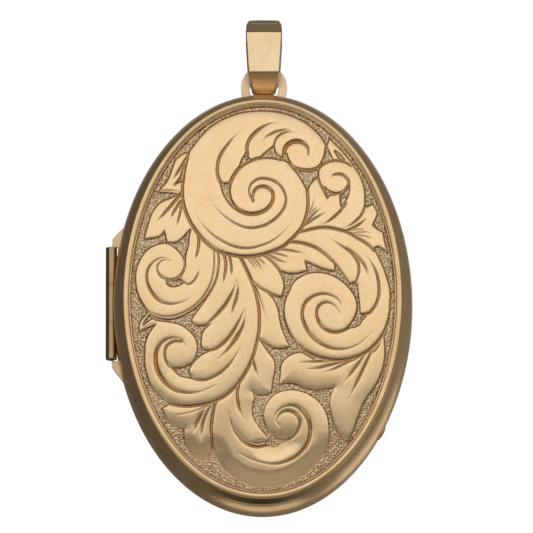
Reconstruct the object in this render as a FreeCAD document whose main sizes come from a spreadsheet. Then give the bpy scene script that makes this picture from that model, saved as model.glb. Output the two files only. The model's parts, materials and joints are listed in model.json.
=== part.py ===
import FreeCAD, Part
import os
from FreeCAD import Vector, Rotation, Placement

# Oval locket on a folded bail.  Lengths are millimetres.
# Frame: +Z up, the front cover faces -Y, +X to the right, the hinge is on the
# -X side.  The case is laid out about its own centre first, and every finished
# sub-part is then lowered by "lift", so that the origin of the part is the
# centre of the bail's chain opening.

doc = FreeCAD.newDocument("locket")
sheet = doc.addObject("Spreadsheet::Sheet", "Dims")
VAL = {}
_row = [0]


def cell(alias, value):
    """Store one driving dimension and give the expression that reads it."""
    if alias not in VAL:
        _row[0] += 1
        c = "B%d" % _row[0]
        sheet.set("A%d" % _row[0], alias)
        sheet.set(c, repr(float(value)))
        sheet.setAlias(c, alias)
        VAL[alias] = float(value)
    return "Dims." + alias


# ---------------------------------------------------------------- case outline
cell("half_width", 14.0)      # widest half width of the case, at the parting line
cell("half_height", 20.25)    # widest half height, at the parting line
cell("lift", -24.76)          # case centre below the origin
# ---------------------------------------------------------------- cover plates
cell("plate_inset", 1.52)     # plate edge inside the case outline
cell("plate_edge", 2.65)      # plate's outer edge above the parting plane
cell("plate_rise", 0.85)      # crown of the front plate above its own edge
cell("front_thick", 0.40)
cell("back_rise", 0.75)
cell("back_thick", 0.50)
# ---------------------------------------------------------------- hinge
cell("hinge_x", -14.15)
cell("hinge_low", -5.20)
cell("hinge_top", 5.55)
cell("joint_low", -1.62)
cell("joint_top", 1.97)
cell("joint_air", 0.02)
cell("tube_rad", 0.53)
cell("notch_rad", 0.62)
cell("pin_rad", 0.25)
cell("run_bore", 0.28)
cell("pin_proud", 0.12)
# ---------------------------------------------------------------- lug and bail
cell("lug_z", 21.16)
cell("lug_rad", 2.17)
cell("lug_face", 0.03)
cell("lug_thick", 0.60)
cell("eye_rad", 1.35)
cell("eye_drop", 0.10)
cell("bail_mid", 0.14)        # middle plane of the bail, front to back
cell("bail_side", 0.12)       # lug and bail sit this much to the right


sheet.recompute()


def bind(obj, prop, expr):
    obj.setExpression(prop, expr)


OVAL = Rotation(Vector(0, 0, 1), Vector(1, 0, 0), Vector(0, 1, 0), "ZXY")


def oval(name, inset, depth):
    """An ellipse in a plane across Y, a set distance inside the case outline."""
    o = doc.addObject("Part::Ellipse", name)
    o.MajorRadius = VAL["half_height"] - VAL[inset]
    o.MinorRadius = VAL["half_width"] - VAL[inset]
    o.Placement = Placement(Vector(0, VAL[depth], 0), OVAL)
    bind(o, "MajorRadius", "Dims.half_height - Dims." + inset)
    bind(o, "MinorRadius", "Dims.half_width - Dims." + inset)
    bind(o, "Placement.Base.y", "Dims." + depth)
    return o


def stack(name, rows):
    """A solid lofted straight from oval to oval; rows are (inset, y)."""
    secs = []
    for i, (inset, y) in enumerate(rows):
        ia, ya = "%s_in%d" % (name, i), "%s_y%d" % (name, i)
        cell(ia, inset)
        cell(ya, y)
        secs.append((ia, ya))
    sheet.recompute()
    ovals = [oval("%s_oval%d" % (name, i), ia, ya) for i, (ia, ya) in enumerate(secs)]
    o = doc.addObject("Part::Loft", name + "_loft")
    o.Sections = ovals
    o.Solid = True
    o.Ruled = True
    o.Closed = False
    return o


def cut(name, base, *tools):
    """base less each tool, as a chain of cuts; the last one has the name."""
    cur = base
    for i, tool in enumerate(tools):
        last = i == len(tools) - 1
        c = doc.addObject("Part::Cut", name if last else "%s_cut%d" % (name, i))
        c.Base = cur
        c.Tool = tool
        cur = c
    return cur


def common(name, a, b):
    c = doc.addObject("Part::Common", name)
    c.Base = a
    c.Tool = b
    return c


def rod(name, rad, x, z0, z1):
    """A cylinder along Z; rad, x, z0 and z1 are expressions."""
    c = doc.addObject("Part::Cylinder", name)
    bind(c, "Radius", rad)
    bind(c, "Placement.Base.x", x)
    bind(c, "Placement.Base.z", z0)
    bind(c, "Height", "(%s) - (%s)" % (z1, z0))
    return c


def disc(name, rad, y0, y1, z):
    """A cylinder along Y from y0 to y1, centred at x = 0."""
    c = doc.addObject("Part::Cylinder", name)
    c.Placement = Placement(Vector(0, 0, 0), Rotation(Vector(1, 0, 0), -90))
    bind(c, "Radius", rad)
    bind(c, "Placement.Base.y", y0)
    bind(c, "Placement.Base.z", z)
    bind(c, "Height", "(%s) - (%s)" % (y1, y0))
    return c


def plane(body, role):
    for f in body.Origin.OriginFeatures:
        if f.Role == role:
            return f
    raise RuntimeError(role)


def poly_body(name, role, pts, length, holes=()):
    """A PartDesign body: a polygon sketch with every corner held to the sheet,
    padded evenly to both sides of its plane."""
    import Sketcher
    body = doc.addObject("PartDesign::Body", name)
    sk = body.newObject("Sketcher::SketchObject", name + "_sketch")
    sk.AttachmentSupport = [(plane(body, role), "")]
    sk.MapMode = "FlatFace"
    g = 0
    loops = [pts] + list(holes)
    for li, loop in enumerate(loops):
        n = len(loop)
        names = []
        for i, (u, v) in enumerate(loop):
            ua, va = "%s_u%d_%d" % (name, li, i), "%s_v%d_%d" % (name, li, i)
            cell(ua, u)
            cell(va, v)
            names.append((ua, va))
        sheet.recompute()
        for i in range(n):
            u0, v0 = loop[i]
            u1, v1 = loop[(i + 1) % n]
            sk.addGeometry(Part.LineSegment(Vector(u0, v0, 0), Vector(u1, v1, 0)), False)
        for i in range(n):
            sk.addConstraint(Sketcher.Constraint("Coincident", g + i, 2, g + (i + 1) % n, 1))
        for i in range(n):
            cu = sk.addConstraint(Sketcher.Constraint("DistanceX", -1, 1, g + i, 1, loop[i][0]))
            cv = sk.addConstraint(Sketcher.Constraint("DistanceY", -1, 1, g + i, 1, loop[i][1]))
            sk.setExpression("Constraints[%d]" % cu, "Dims." + names[i][0])
            sk.setExpression("Constraints[%d]" % cv, "Dims." + names[i][1])
        g += n
    pad = body.newObject("PartDesign::Pad", name + "_pad")
    pad.Profile = sk
    try:
        pad.SideType = "Symmetric"
    except Exception:
        pad.Midplane = True
    cell(name + "_len", length)
    sheet.recompute()
    bind(pad, "Length", "Dims.%s_len" % name)
    body.Tip = pad
    return body


final = {}


def done(node, obj):
    """Give a finished sub-part its name and lower it into the part's frame."""
    obj.Label = node
    final[node] = obj
    return obj


# ================================================================= front half
# Rim: satin side band, small step, then a raised rounded bezel round the plate.
f_out = stack("frim", [(0.00, -0.03), (0.05, -0.70), (0.20, -1.40), (0.55, -2.13),
                       (0.90, -2.62), (0.99, -2.76), (1.20, -2.82), (1.42, -2.79),
                       (1.485, -2.70)])
f_a = stack("frim_a", [(0.60, 0.20), (0.60, -1.50)])
f_b = stack("frim_b", [(1.90, -1.40), (1.90, -2.40)])
f_c = stack("frim_c", [(1.50, -2.22), (1.50, -3.20)])
f_own = rod("frim_seat", "Dims.tube_rad", "Dims.hinge_x",
            "Dims.joint_low - 0.1", "Dims.joint_top + 0.1")
f_up = rod("frim_clear_up", "Dims.notch_rad", "Dims.hinge_x",
           "Dims.joint_top", "Dims.hinge_top + 0.3")
f_dn = rod("frim_clear_low", "Dims.notch_rad", "Dims.hinge_x",
           "Dims.hinge_low - 0.3", "Dims.joint_low")
front_rim = done("front_rim", cut("front_rim_solid", f_out, f_a, f_b, f_c, f_own, f_up, f_dn))


def dome(name, front, rise, thick):
    """A thin cap of a sphere with a round edge, stretched along Z to the oval
    of the plate.  front is -1 for the front cover and 1 for the back."""
    r = "((Dims.half_width - Dims.plate_inset)^2 + Dims.%s^2) / (2 * Dims.%s)" % (rise, rise)
    sph = []
    for tag, less in (("skin", "0"), ("core", "Dims.%s" % thick)):
        s = doc.addObject("Part::Sphere", "%s_%s" % (name, tag))
        bind(s, "Radius", "%s - %s" % (r, less))
        bind(s, "Placement.Base.y", "%d * (Dims.plate_edge + Dims.%s - %s)" % (front, rise, r))
        sph.append(s)
    shell = cut(name + "_shell", sph[0], sph[1])
    if front < 0:
        ends = ("-6", "0")
    else:
        ends = ("0", "6")
    core = disc(name + "_trim", "Dims.half_width - Dims.plate_inset", ends[0], ends[1], "0")
    cap = common(name + "_cap", shell, core)
    a = VAL["half_width"] - VAL["plate_inset"]
    b = VAL["half_height"] - VAL["plate_inset"]
    sc = doc.addObject("Part::Scale", name + "_oval")
    sc.Base = cap
    sc.Uniform = False
    sc.XScale = 1.0
    sc.YScale = 1.0
    sc.ZScale = b / a
    bind(sc, "ZScale", "(Dims.half_height - Dims.plate_inset) / (Dims.half_width - Dims.plate_inset)")
    return sc


done("front_cover_plate", dome("front_plate", -1, "plate_rise", "front_thick"))

# Photograph holder of the front half: blank card, clear window, oval frame.
done("front_photo_card", stack("fcard", [(0.75, -1.28), (0.75, -1.48)]))
done("front_photo_window", stack("fwindow", [(0.70, -1.11), (0.70, -1.27)]))
ff_o = stack("fframe", [(0.64, -0.72), (0.62, -0.80), (0.62, -1.10)])
ff_i = stack("fframe_in", [(1.75, -0.60), (1.75, -0.85), (2.00, -1.20)])
done("front_photo_frame", cut("front_frame_solid", ff_o, ff_i))

# ================================================================= back half
b_out = stack("brim", [(0.00, 0.00), (0.05, 0.70), (0.20, 1.40), (0.55, 2.15),
                       (0.95, 2.46), (1.28, 2.60), (1.485, 2.64)])
b_a = stack("brim_a", [(0.68, -0.20), (0.68, 1.30)])
b_b = stack("brim_b", [(1.90, 1.20), (1.90, 2.40)])
b_c = stack("brim_c", [(1.50, 2.12), (1.50, 3.20)])
b_mid = rod("brim_clear", "Dims.notch_rad", "Dims.hinge_x", "Dims.joint_low", "Dims.joint_top")
b_up = rod("brim_seat_up", "Dims.tube_rad", "Dims.hinge_x",
           "Dims.joint_top - 0.1", "Dims.hinge_top + 0.3")
b_dn = rod("brim_seat_low", "Dims.tube_rad", "Dims.hinge_x",
           "Dims.hinge_low - 0.3", "Dims.joint_low + 0.1")
back_rim = done("back_rim", cut("back_rim_solid", b_out, b_a, b_b, b_c, b_mid, b_up, b_dn))
done("back_cover_plate", dome("back_plate", 1, "back_rise", "back_thick"))

# Snap lip: the oval ring that stands out of the back half into the front one.
lip_o = stack("lip", [(0.74, -0.52), (0.70, -0.44), (0.70, -0.02), (0.68, 0.02), (0.68, 1.02)])
lip_i = stack("lip_in", [(0.95, -0.60), (0.95, 1.20)])
done("snap_lip", cut("snap_lip_solid", lip_o, lip_i))
# Two small pips on the lip's free side that grip the front rim.
cell("pip_x", 13.085)
cell("pip_y", -0.25)
cell("pip_long", 0.90)
cell("pip_rad", 0.12)
cell("pip_z_upper", 2.55)
cell("pip_z_lower", -3.45)
sheet.recompute()
for tag in ("upper", "lower"):
    pip = doc.addObject("Part::Prism", "pip_blank_" + tag)
    pip.Polygon = 12
    bind(pip, "Circumradius", "Dims.pip_rad")
    bind(pip, "Height", "Dims.pip_long")
    bind(pip, "Placement.Base.x", "Dims.pip_x")
    bind(pip, "Placement.Base.y", "Dims.pip_y")
    bind(pip, "Placement.Base.z", "Dims.pip_z_" + tag)
    done("snap_pip_" + tag, cut("snap_pip_%s_solid" % tag, pip, lip_o))

done("back_photo_card", stack("bcard", [(1.10, 1.09), (1.10, 1.29)]))
done("back_photo_window", stack("bwindow", [(1.05, 0.92), (1.05, 1.08)]))
bf_o = stack("bframe", [(0.99, 0.45), (0.97, 0.53), (0.97, 0.91)])
bf_i = stack("bframe_in", [(2.05, 0.35), (2.05, 0.62), (2.30, 1.00)])
done("back_photo_frame", cut("back_frame_solid", bf_o, bf_i))

# ================================================================= hinge
def knuckle(node, bore, z0, z1):
    outer = rod(node + "_tube", "Dims.tube_rad", "Dims.hinge_x", z0, z1)
    hole = rod(node + "_bore", bore, "Dims.hinge_x", z0 + " - 0.5", z1 + " + 0.5")
    return done(node, cut(node + "_solid", outer, hole))


knuckle("upper_knuckle", "Dims.pin_rad", "Dims.joint_top + Dims.joint_air", "Dims.hinge_top")
knuckle("middle_knuckle", "Dims.run_bore", "Dims.joint_low + Dims.joint_air",
        "Dims.joint_top - Dims.joint_air")
knuckle("lower_knuckle", "Dims.pin_rad", "Dims.hinge_low", "Dims.joint_low - Dims.joint_air")

# Pin with small rounded ends standing just out of the end knuckles.
pin_shank = rod("pin_shank", "Dims.pin_rad", "Dims.hinge_x",
                "Dims.hinge_low - Dims.pin_proud", "Dims.hinge_top + Dims.pin_proud")
pin = doc.addObject("Part::Chamfer", "hinge_pin_solid")
pin.Base = pin_shank
pin_shank.recompute()
ends = []
for i, e in enumerate(pin_shank.Shape.Edges, 1):
    if e.Closed and e.Curve.TypeId == "Part::GeomCircle":
        ends.append((i, 0.08, 0.08))
pin.Edges = ends
done("hinge_pin", pin)

# Flat fins soldered to the back rim above and below the barrel.
gus_up = poly_body("gusset_up", "XZ_Plane",
                   [(-14.10, 5.68), (-14.05, 6.45), (-13.55, 7.05), (-12.90, 7.66),
                    (-12.50, 6.60), (-12.90, 4.70), (-13.54, 4.70), (-13.54, 5.68)], 0.40)
gus_dn = poly_body("gusset_dn", "XZ_Plane",
                   [(-14.12, -5.34), (-14.08, -5.85), (-13.80, -6.33), (-13.22, -7.05),
                    (-12.80, -7.72), (-12.40, -6.60), (-12.90, -4.40), (-13.54, -4.40),
                    (-13.54, -5.34)], 0.40)
b_hold = stack("brim_keep", [(0.00, 0.00), (0.05, 0.70)])
for node, body in (("upper_hinge_fin", gus_up), ("lower_hinge_fin", gus_dn)):
    bind(body, "Placement.Base.y", "0.27")
    done(node, cut(node + "_solid", body, b_hold))

# ================================================================= nail catch
# A short lip on the edge of the front rim for a finger nail, low on the right.
cell("catch_x", 11.05)
cell("catch_y", -0.27)
cell("catch_z", -12.42)
cell("catch_long", 0.75)
cell("catch_proud", 0.22)
cell("catch_thick", 0.20)
sheet.recompute()
nail = doc.addObject("Part::Ellipsoid", "catch_blank")
nail.Angle1 = -90
nail.Angle2 = 90
nail.Angle3 = 360
# Long axis along the edge of the case, short axis across the parting plane.
nail.Placement = Placement(Vector(0, 0, 0),
                           Rotation(Vector(0, -1, 0), Vector(0.880, 0, -0.474),
                                    Vector(0.474, 0, 0.880), "ZXY"))
bind(nail, "Radius1", "Dims.catch_long")
bind(nail, "Radius2", "Dims.catch_thick")
bind(nail, "Radius3", "Dims.catch_proud")
bind(nail, "Placement.Base.x", "Dims.catch_x")
bind(nail, "Placement.Base.y", "Dims.catch_y")
bind(nail, "Placement.Base.z", "Dims.catch_z")
f_keep = stack("frim_keep", [(0.00, 0.30), (0.00, -0.03), (0.05, -0.70), (0.20, -1.40)])
done("nail_catch", cut("nail_catch_solid", nail, f_keep))

# ================================================================= lug
lug_disc = disc("lug_disc", "Dims.lug_rad", "Dims.lug_face",
                "Dims.lug_face + Dims.lug_thick", "Dims.lug_z")
lug_eye = disc("lug_eye", "Dims.eye_rad", "-2", "3", "Dims.lug_z - Dims.eye_drop")
lug_keep = stack("lug_keep", [(0.00, 0.00), (0.05, 0.70)])
for piece in (lug_disc, lug_eye):
    bind(piece, "Placement.Base.x", "Dims.bail_side")
done("bail_lug", cut("bail_lug_solid", lug_disc, lug_eye, lug_keep))

# ================================================================= bail
# Folded strip: a flat front and back, a roof on top, and slanting lower faces
# that meet in a narrow strand through the lug's eye.  Seen from the side:
# The loop's corners are given from the middle of the lug.
zl = VAL["lug_z"]
outer = [(0.80, 6.42), (1.50, 5.90), (2.00, 4.86), (2.00, 1.04), (0.62, -0.66), (0.42, -0.80)]
inner = [(0.62, 6.00), (1.20, 5.60), (1.60, 4.77), (1.60, 1.18), (0.40, -0.32), (0.32, -0.38)]
ring_out = [(y, z + zl) for y, z in outer] + [(-y, z + zl) for y, z in reversed(outer)]
ring_in = [(y, z + zl) for y, z in inner] + [(-y, z + zl) for y, z in reversed(inner)]
loop = poly_body("bail_loop", "YZ_Plane", ring_out, 3.8, holes=[ring_in])
bind(loop, "Placement.Base.x", "Dims.bail_side")
bind(loop, "Placement.Base.y", "Dims.bail_mid")
# Seen from the front: widest under the roof, narrowing to the strand.
face = [(1.36, 6.50), (1.66, 5.85), (1.72, 4.86), (1.68, 4.2), (1.49, 1.04),
        (1.25, 0.20), (1.09, -0.50), (0.72, -0.95)]
face_pts = [(x, z + zl) for x, z in face] + [(-x, z + zl) for x, z in reversed(face)]
outline = poly_body("bail_face", "XZ_Plane", face_pts, 8.0)
bind(outline, "Placement.Base.x", "Dims.bail_side")
done("bail", common("bail_solid", loop, outline))

doc.recompute()

# ------------------------------------------------------------- place and check
for node, obj in final.items():
    bind(obj, "Placement.Base.z", "Dims.lift")
doc.recompute()

bad = [o.Name for o in doc.Objects if "Invalid" in o.State or "Error" in o.State]
if bad:
    raise RuntimeError("failed objects: " + ", ".join(bad))
for node, obj in final.items():
    if obj.Shape.isNull() or not obj.Shape.isValid():
        raise RuntimeError("bad shape: " + node)

os.makedirs("parts", exist_ok=True)
for node, obj in final.items():
    obj.Shape.exportStep("parts/%s.step" % node)
    bb = obj.Shape.BoundBox
    print("%-20s solids %d vol %8.3f  x %.2f..%.2f y %.2f..%.2f z %.2f..%.2f" % (
        node, len(obj.Shape.Solids), obj.Shape.Volume,
        bb.XMin, bb.XMax, bb.YMin, bb.YMax, bb.ZMin, bb.ZMax))
print(len(final), "nodes")
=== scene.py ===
import bpy, bmesh, json, math
import numpy as np
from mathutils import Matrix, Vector

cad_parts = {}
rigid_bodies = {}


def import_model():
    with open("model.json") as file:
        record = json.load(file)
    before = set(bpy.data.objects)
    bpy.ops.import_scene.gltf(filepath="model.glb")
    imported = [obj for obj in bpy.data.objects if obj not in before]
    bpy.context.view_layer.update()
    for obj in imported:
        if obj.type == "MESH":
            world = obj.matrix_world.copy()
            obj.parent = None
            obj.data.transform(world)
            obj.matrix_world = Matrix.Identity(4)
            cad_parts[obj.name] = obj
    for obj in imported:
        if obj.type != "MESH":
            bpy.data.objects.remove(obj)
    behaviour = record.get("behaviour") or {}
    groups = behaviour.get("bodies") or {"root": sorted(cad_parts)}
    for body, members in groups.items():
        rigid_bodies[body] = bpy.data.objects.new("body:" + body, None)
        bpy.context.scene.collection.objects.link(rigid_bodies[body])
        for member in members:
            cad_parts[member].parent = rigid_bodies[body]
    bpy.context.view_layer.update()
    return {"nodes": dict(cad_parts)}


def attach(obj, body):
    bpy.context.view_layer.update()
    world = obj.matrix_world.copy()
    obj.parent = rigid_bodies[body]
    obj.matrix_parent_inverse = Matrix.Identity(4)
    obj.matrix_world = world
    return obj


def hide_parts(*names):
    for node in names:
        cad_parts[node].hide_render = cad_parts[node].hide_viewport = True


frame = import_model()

MM = 0.001
LIFT = -24.76          # case centre below the bail's chain opening, mm
HALF_W, HALF_H = 14.0, 20.25
PLATE_A, PLATE_B = 12.48, 18.73

for o in list(bpy.context.scene.objects):
    if o.type in {"LIGHT", "CAMERA"}:
        bpy.data.objects.remove(o)

scene = bpy.context.scene
scene.view_settings.view_transform = "Standard"
scene.view_settings.look = "None"

# ------------------------------------------------------------------ ornament
# Scrollwork on the front plate, in mm from the case centre: x to the right,
# z up.  A third value of 1 marks a sharp corner.  LEAF is the outline of all
# the raised scrolls together; outside it the metal is sunk and matted, as it
# is in each of the POCKETS.  CUTS are graver strokes: width at the start, in
# the middle and at the end, then the line of the stroke.
LEAF = [
     (-0.07, 18.18), (0.68, 18.14), (1.43, 18.05), (2.18, 17.87), (2.83, 17.63), (3.39, 17.36), (3.96, 17.05),
     (4.52, 16.61), (4.98, 16.17), (5.36, 15.73), (5.68, 15.24), (5.9, 14.8, 1), (6.01, 14.66, 1), (6.11, 15.1),
     (6.29, 15.5, 1), (6.67, 15.06), (7.13, 14.58), (7.6, 14.05), (8.07, 13.47), (8.49, 12.84), (8.91, 12.21),
     (9.24, 11.53), (9.47, 10.75), (9.57, 9.97), (9.57, 9.18), (9.71, 8.84, 1), (10.03, 9), (10.22, 9.18, 1),
     (10.5, 8.77), (10.72, 8.29), (10.64, 7.84), (10.29, 7.07, 1), (10.73, 6.69), (11.25, 6.4, 1),
     (11.37, 5.72), (11.53, 4.99), (11.74, 4.37, 1), (11.25, 4.74), (10.78, 4.97), (10.43, 4.81, 1),
     (10.64, 4.33), (11, 3.61), (11.34, 2.8), (11.62, 1.93), (11.86, 0.97), (11.93, 0.01), (11.93, -0.96),
     (11.81, -1.93), (11.58, -2.9), (11.32, -3.68, 1), (11.39, -4.36), (11.42, -5.03), (11.39, -5.8),
     (11.25, -6.62), (11.01, -7.39), (10.69, -8.12), (10.27, -8.81), (9.8, -9.49), (9.38, -10.17),
     (9.1, -10.89), (8.85, -11.57), (8.63, -12.24), (8.4, -12.87), (8.12, -13.44), (7.82, -13.86, 1),
     (7.32, -13.37), (6.95, -12.9), (6.67, -12.38, 1), (6.18, -12.44, 1), (6.2, -13.2), (6.15, -13.96),
     (5.92, -14.68), (5.54, -15.3), (5.08, -15.88), (4.52, -16.45), (3.86, -16.98), (3.11, -17.46),
     (2.27, -17.85), (1.43, -18.09), (0.59, -18.19), (-0.25, -18.17), (-1.09, -17.99), (-1.94, -17.66),
     (-2.68, -17.23), (-3.34, -16.75), (-3.85, -16.22), (-4.18, -15.6), (-4.39, -15.03), (-4.62, -14.55, 1),
     (-4.88, -14.93), (-5.16, -15.35), (-5.49, -15.68, 1), (-5.77, -15.61), (-6.19, -15.36), (-6.66, -14.9),
     (-7.03, -14.32), (-7.28, -13.65), (-7.36, -13.08), (-7.31, -12.63, 1), (-7.73, -12.53), (-8.29, -12.25),
     (-8.76, -11.89), (-9.09, -11.42), (-9.28, -10.94), (-9.37, -10.6, 1), (-9.04, -10.42), (-8.76, -10.22, 1),
     (-9.09, -9.92), (-9.56, -9.5), (-10.07, -8.96), (-10.49, -8.32), (-10.77, -7.55), (-10.96, -6.77),
     (-11.02, -6), (-11.02, -5.23), (-10.98, -4.47), (-10.77, -3.75), (-10.44, -3.13), (-10.02, -2.62, 1),
     (-10.54, -2.79), (-11.1, -3.05), (-11.54, -3.34, 1), (-11.57, -2.91), (-11.49, -2.43), (-11.29, -2.05),
     (-10.91, -1.62), (-10.72, -1.29, 1), (-11, -0.9), (-11.38, -0.25), (-11.68, 0.48), (-11.85, 1.26),
     (-11.89, 2.04), (-11.8, 2.81), (-11.57, 3.49), (-11.24, 4.11), (-10.82, 4.63), (-10.26, 5.02),
     (-9.6, 5.23), (-8.95, 5.35, 1), (-9.06, 5.84), (-9.19, 6.43, 1), (-9.6, 5.96), (-10.07, 5.8),
     (-10.58, 5.76), (-11.07, 5.69, 1), (-10.96, 6.29), (-10.77, 6.97), (-10.58, 7.65), (-10.35, 8.23),
     (-10.07, 8.71), (-9.7, 9.16), (-9.13, 9.48), (-8.48, 9.72), (-7.87, 9.99, 1), (-8.85, 10.18),
     (-9.84, 10.27, 1), (-9.42, 10.75), (-8.99, 11.28), (-8.71, 11.86), (-8.48, 12.49), (-8.29, 13.13),
     (-8.06, 13.53), (-7.69, 13.85), (-7.19, 14.11, 1), (-6.8, 14.34), (-6.28, 15.05), (-5.63, 15.88),
     (-4.93, 16.56), (-3.99, 17.21), (-3.06, 17.65), (-2.12, 17.96), (-1.19, 18.11)]

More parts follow.
